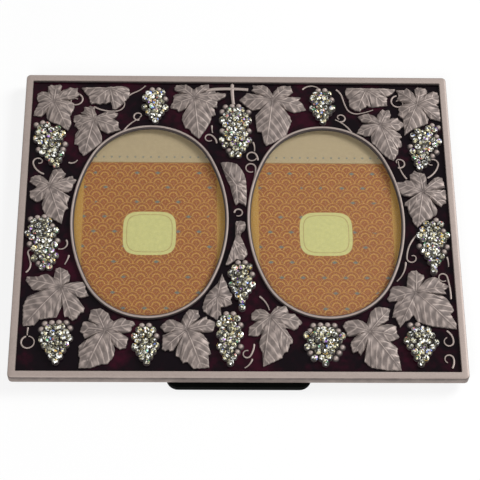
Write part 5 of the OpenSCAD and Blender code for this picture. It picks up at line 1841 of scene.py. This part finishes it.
@dataclass
class Grapes:
    """Thirteen bunches: cups, plain balls and the set stones."""

    metal: bpy.types.Material
    stone: bpy.types.Material
    sizes: Sizes = SIZES
    seed: int = 7
    sides: int = 20
    ball_step: int = 12
    seat_low: float = -0.25
    seat_high: float = 0.2
    astray: float = 0.24
    foot_out: float = 0.3
    foot_rise: float = 0.25
    in_enamel: float = 0.1
    lip_out: float = 0.04
    stone_gap: float = 0.02
    most_lean: float = 18
    sectors: int = 7
    sector_step: float = 0.4

    def build(self) -> None:
        """Make the bunches' metal and their stones."""
        cups, stones = MeshMaker("grape_cups"), MeshMaker("set_stones")
        rng = random.Random(self.seed)
        for shares in BUNCH_SHARES:
            for spot, z, plain in Bunch(*shares).spots():
                if plain:
                    self.ball(cups, spot, z)
                    continue
                seat = z + rng.uniform(self.seat_low, self.seat_high)
                x, y = (at + rng.uniform(-self.astray, self.astray) for at in spot)
                self.cup(cups, (x, y), seat)
                self.set_stone(stones, (x, y), seat, rng)
        metal = cups.build(self.metal, Slot.METAL)
        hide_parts("frame_casting")
        glints = stones.build(self.stone, Slot.STONE, sharp=1)
        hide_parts(*[f"crystals_{k + 1}" for k in range(len(BUNCH_SHARES))])

    def rings(self, maker: MeshMaker, spot: Flat, profile: Sequence[Flat],
              masks: Sequence[float]) -> None:
        """Add a turned form on a grape's foot, closed at its top.

        Args:
            maker: The mesh that gets it.
            spot: Its axis.
            profile: Radius and height of each ring over the foot, from the bottom up.
            masks: How much painted shade and patina darken each of them.
        """
        s, n = self.sizes, self.sides
        foot = [(s.grape_r + self.foot_out, s.enamel_z - self.in_enamel),
                (s.grape_r, s.enamel_z + self.foot_rise)]
        turns = [math.tau * k / n for k in range(n)]
        rows = [[(spot[0] + r * math.cos(a), spot[1] + r * math.sin(a), z) for a in turns]
                for r, z in [*foot, *profile]]
        # The foot where it meets the enamel gets full painted shade
        maker.loops(rows, [1.0, 1.0, *masks])
        maker.faces.append(tuple(range(len(maker.points) - n, len(maker.points))))

    def ball(self, maker: MeshMaker, spot: Flat, z: float) -> None:
        """Add a plain ball.

        Args:
            maker: The mesh that gets it.
            spot: Its centre.
            z: The height of its top.
        """
        s = self.sizes
        hub = max(s.plate_top_z, z - s.grape_r)
        low = max(hub, s.enamel_z + self.foot_rise)
        arc = [turned((s.grape_r, 0), a) for a in range(0, 86, self.ball_step)]
        profile = [(s.grape_r, low), *[(x, hub + y) for x, y in arc if hub + y > low]]
        # Painted shade, darker towards the bottom of the ball
        self.rings(maker, spot, profile, [max(0.0, 0.8 - 0.16 * k) for k in range(len(profile))])

    def cup(self, maker: MeshMaker, spot: Flat, z: float) -> None:
        """Add a cup whose lip lies just under the widest part of its stone.

        Args:
            maker: The mesh that gets it.
            spot: Its centre.
            z: The height of the stone's seat.
        """
        s, lip = self.sizes, self.sizes.grape_pitch / 2 + self.lip_out
        # Over the foot: the belly, the outside of the lip, its top, and the seat within
        profile = [(s.grape_r, z - 0.5), (lip, z - 0.15), (lip, z + 0.04), (lip - 0.12, z + 0.12),
                   (s.stone_r - 0.04, z + 0.02)]
        # Painted shade darkens the belly and the seat, and the lip stays lighter
        self.rings(maker, spot, profile, (1.0, 0.9, 0.7, 0.6, 1.0))

    def set_stone(self, maker: MeshMaker, spot: Flat, z: float, rng: random.Random) -> None:
        """Add a cut stone, turned and leant a little.

        Args:
            maker: The mesh that gets the stone.
            spot: Its centre.
            z: The height of its seat.
            rng: The source of its turn, its lean and the painted glints on its facets.
        """
        s = self.sizes
        r, h = max(s.stone_r, s.grape_pitch / 2 - self.stone_gap), s.stone_h
        turn = rng.uniform(0, 360)
        lean = Matrix.Rotation(math.radians(rng.uniform(0, self.most_lean)), 3,
                               Vector((rng.uniform(-1, 1), rng.uniform(-1, 1), 0)).normalized())

        def ring(count: int, offset: float, radius: float, height: float) -> list[Point]:
            """Return one ring of corners.

            Args:
                count: How many there are.
                offset: How far the first is turned, in degrees.
                radius: The ring's radius as a share of the stone's.
                height: Its height as a share of the stone's.

            Returns:
                The corners.
            """
            out = []
            for k in range(count):
                flat = turned((radius * r, 0), turn + offset + 360 * k / count)
                p = lean @ Vector((*flat, height * h))
                out.append((spot[0] + p.x, spot[1] + p.y, z + p.z))
            return out

        points = (ring(8, 0, 0.52, 1.0) + ring(8, 22.5, 0.80, 0.66) + ring(16, 0, 1.0, 0.32)
                  + ring(16, 0, 0.96, 0.02) + ring(1, 0, 0.0, 0.9))
        faces = self.facets()
        maker.add(points, faces)
        # Each group of facets gets a painted glint, a reflection painted as its colour
        start, lights = rng.uniform(0, math.tau), {}
        for face in faces:
            dx, dy = (sum(points[i][way] for i in face) / len(face) - spot[way] for way in (0, 1))
            sector = int((math.atan2(dy, dx) + start) % math.tau / (math.tau / self.sectors))
            group = (sector, int(math.hypot(dx, dy) / (self.sector_step * r)))
            if group not in lights:
                lights[group] = Glint.pick(rng)
            maker.glint_colours.append(lights[group])

    def facets(self) -> list[tuple[int, ...]]:
        """List a stone's faces: a slightly dished top, facets round it, a girdle and a foot.

        Returns:
            The faces, by the numbers of their corners.
        """
        kites, girdle, foot, middle = 8, 16, 32, 48
        faces: list[tuple[int, ...]] = [(k, (k + 1) % 8, middle) for k in range(8)]
        for k in range(8):
            after, before = (k + 1) % 8, kites + (k - 1) % 8
            low, mid, high = (girdle + (2 * k + j) % 16 for j in range(3))
            faces += [(k, kites + k, after), (k, before, low), (k, low, kites + k),
                      (kites + k, low, mid), (kites + k, mid, high)]
        faces += [(foot + k, foot + (k + 1) % 16, girdle + (k + 1) % 16, girdle + k)
                  for k in range(16)]
        return [*faces, tuple(reversed(range(foot, middle)))]


@dataclass
class Windows:
    """The glass and the printed card behind each window."""

    glass: bpy.types.Material

    def build(self, nodes: dict[str, bpy.types.Object]) -> None:
        """Give the glasses and the cards their finishes.

        Args:
            nodes: The model's own pieces by name.
        """
        for side, (cx, _) in zip(("left", "right"), windows(), strict=True):
            dress(nodes[f"{side}_glass"], self.glass)
            card = PrintFinish(f"print_{side}", cx).make()
            dress(nodes[f"{side}_photo_card"], card)


@dataclass
class BackHardware:
    """Board, leg, hinge and turn buttons."""

    flock: bpy.types.Material
    steel: bpy.types.Material
    brass: bpy.types.Material

    def build(self, nodes: dict[str, bpy.types.Object]) -> None:
        """Give the pieces at the back their finishes.

        Args:
            nodes: The model's own pieces by name.
        """
        for name in ("back_board", "easel_leg"):
            dress(nodes[name], self.flock)
        for name in ("board_hinge_leaf", "leg_hinge_leaf", "hinge_pin", "board_leaf_rivets",
                     "leg_leaf_rivets"):
            dress(nodes[name], self.steel)
        for name, node in nodes.items():
            if name.startswith("turn_button") or name == "button_rivets":
                dress(node, self.brass)


def dress(node: bpy.types.Object, material: bpy.types.Material) -> None:
    """Give one of the model's own pieces a finish.

    Args:
        node: The piece.
        material: Its finish.
    """
    node.data.materials.clear()
    node.data.materials.append(material)
    LOG.info("%s: dressed", node.name)


@dataclass(frozen=True)
class Lamp:
    """A soft square lamp that looks at the frame."""

    name: str
    place: Point
    side: float
    watts: float

    def build(self) -> None:
        """Add the lamp to the scene."""
        data = bpy.data.lights.new(self.name, "AREA")
        data.size, data.energy = self.side * MM, self.watts
        lamp = bpy.data.objects.new(self.name, data)
        lamp.location = Vector(self.place) * MM
        lamp.rotation_euler = (-lamp.location).to_track_quat("-Z", "Y").to_euler()
        bpy.context.scene.collection.objects.link(lamp)


@dataclass
class Studio:
    """A white floor, soft light from above and the camera."""

    elevation: float = 60.9
    azimuth: float = -2.95
    roll: float = 2.88
    distance: float = 654.5
    focal_px: float = 1650
    frame_px: float = 480
    sensor: float = 36
    nearest: float = 10
    aim: Point = (0.8, -7.2, 5.0)
    lamps: tuple[Lamp, ...] = (
        Lamp("key_light", (1000, 500, 900), 600, 17.0),
        Lamp("fill_light", (-300, -900, 900), 700, 7.5),
    )
    floor_r: float = 3000
    floor_sides: int = 48
    floor_down: float = 0.05
    floor_colour: Colour = (0.92, 0.92, 0.92)
    floor_rough: float = 0.9
    floor_glow: float = 0.8
    room_light: float = 0.30

    def build(self) -> None:
        """Make the floor, the world, the lamps and the camera."""
        self.floor()
        self.world()
        for lamp in self.lamps:
            lamp.build()
        self.camera()

    def floor(self) -> None:
        """Make the white floor, which keeps a soft shadow."""
        material, bench, shader = blank_material("white_floor")
        bench.put(shader, {"Base Color": self.floor_colour, "Roughness": self.floor_rough})
        bench.cover(bench.math("MULTIPLY", self.seen(bench), self.floor_glow), shader,
                    bench.node("ShaderNodeEmission"))
        n = self.floor_sides
        ring = [(*turned((self.floor_r * MM, 0), 360 * k / n), -self.floor_down * MM)
                for k in range(n)]
        mesh = bpy.data.meshes.new("studio_floor")
        mesh.from_pydata(ring, [], [tuple(range(n))])
        mesh.materials.append(material)
        floor = bpy.data.objects.new("studio_floor", mesh)
        bpy.context.scene.collection.objects.link(floor)

    def seen(self, bench: Bench) -> Socket:
        """Return 1 for rays that show the background itself, and 0 for its light.

        Args:
            bench: The tree that asks.

        Returns:
            The value.
        """
        path = bench.node("ShaderNodeLightPath")
        either = bench.math("MAXIMUM", path.outputs["Is Camera Ray"],
                            path.outputs["Is Glossy Ray"])
        return bench.math("MAXIMUM", either, path.outputs["Is Transmission Ray"])

    def world(self) -> None:
        """Make the pale surroundings, which look white and light the frame less."""
        world = bpy.data.worlds.new("pale_room")
        bpy.context.scene.world = world
        world.use_nodes = True
        bench = Bench(world.node_tree)
        world.node_tree.nodes.clear()
        sky = bench.node("ShaderNodeBackground")
        strength = bench.scaled(self.seen(bench), 1 - self.room_light, self.room_light)
        bench.put(sky, {"Color": (1.0, 1.0, 1.0), "Strength": strength})
        out = bench.node("ShaderNodeOutputWorld")
        bench.feed(out.inputs["Surface"], sky.outputs[0])

    def camera(self) -> None:
        """Make the camera at the photograph's angle."""
        e, a, r = (math.radians(v) for v in (self.elevation, self.azimuth, self.roll))
        back = Vector((math.sin(a) * math.cos(e), -math.cos(a) * math.cos(e), math.sin(e)))
        right = Vector((0, 0, 1)).cross(back).normalized()
        up = back.cross(right)
        x_axis = right * math.cos(r) + up * math.sin(r)
        y_axis = up * math.cos(r) - right * math.sin(r)
        matrix = Matrix((x_axis, y_axis, back)).transposed().to_4x4()
        matrix.translation = (Vector(self.aim) + back * self.distance) * MM
        data = bpy.data.cameras.new("photo_camera")
        data.sensor_width = self.sensor
        data.lens = self.sensor * self.focal_px / self.frame_px
        data.clip_start = self.nearest * MM
        camera = bpy.data.objects.new("photo_camera", data)
        camera.matrix_world = matrix
        bpy.context.scene.collection.objects.link(camera)
        bpy.context.scene.camera = camera


def main() -> None:
    """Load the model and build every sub-assembly."""
    logging.basicConfig(level=logging.INFO, format="%(name)s %(message)s")
    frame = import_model()
    nodes = frame["nodes"]
    # The metal's dark colour serves both its patina and its painted shade
    metal = MetalFinish("antiqued_metal", srgb(156, 142, 135), srgb(60, 52, 51)).make()
    steel = MetalFinish("nickel_plate", srgb(196, 194, 188), srgb(90, 88, 84), 0.95, 0.3).make()
    brass = MetalFinish("yellow_brass", srgb(200, 168, 96), srgb(96, 74, 36), 0.95, 0.32).make()
    enamel = EnamelFinish("plum_enamel", srgb(16, 9, 14), srgb(50, 11, 26)).make()
    flock = FlockFinish("black_flock", srgb(5, 6, 5)).make()
    stone = StoneFinish("cut_stone").make()
    Casting(metal).build()
    EnamelField(enamel).build()
    VineLeaves(metal).build()
    VineTendrils(metal).build()
    Grapes(metal, stone).build()
    Windows(GlassFinish("clear_glass").make()).build(nodes)
    BackHardware(flock, steel, brass).build(nodes)
    Studio().build()
    bpy.context.scene.view_settings.view_transform = "Standard"


if __name__ == "__main__":
    main()
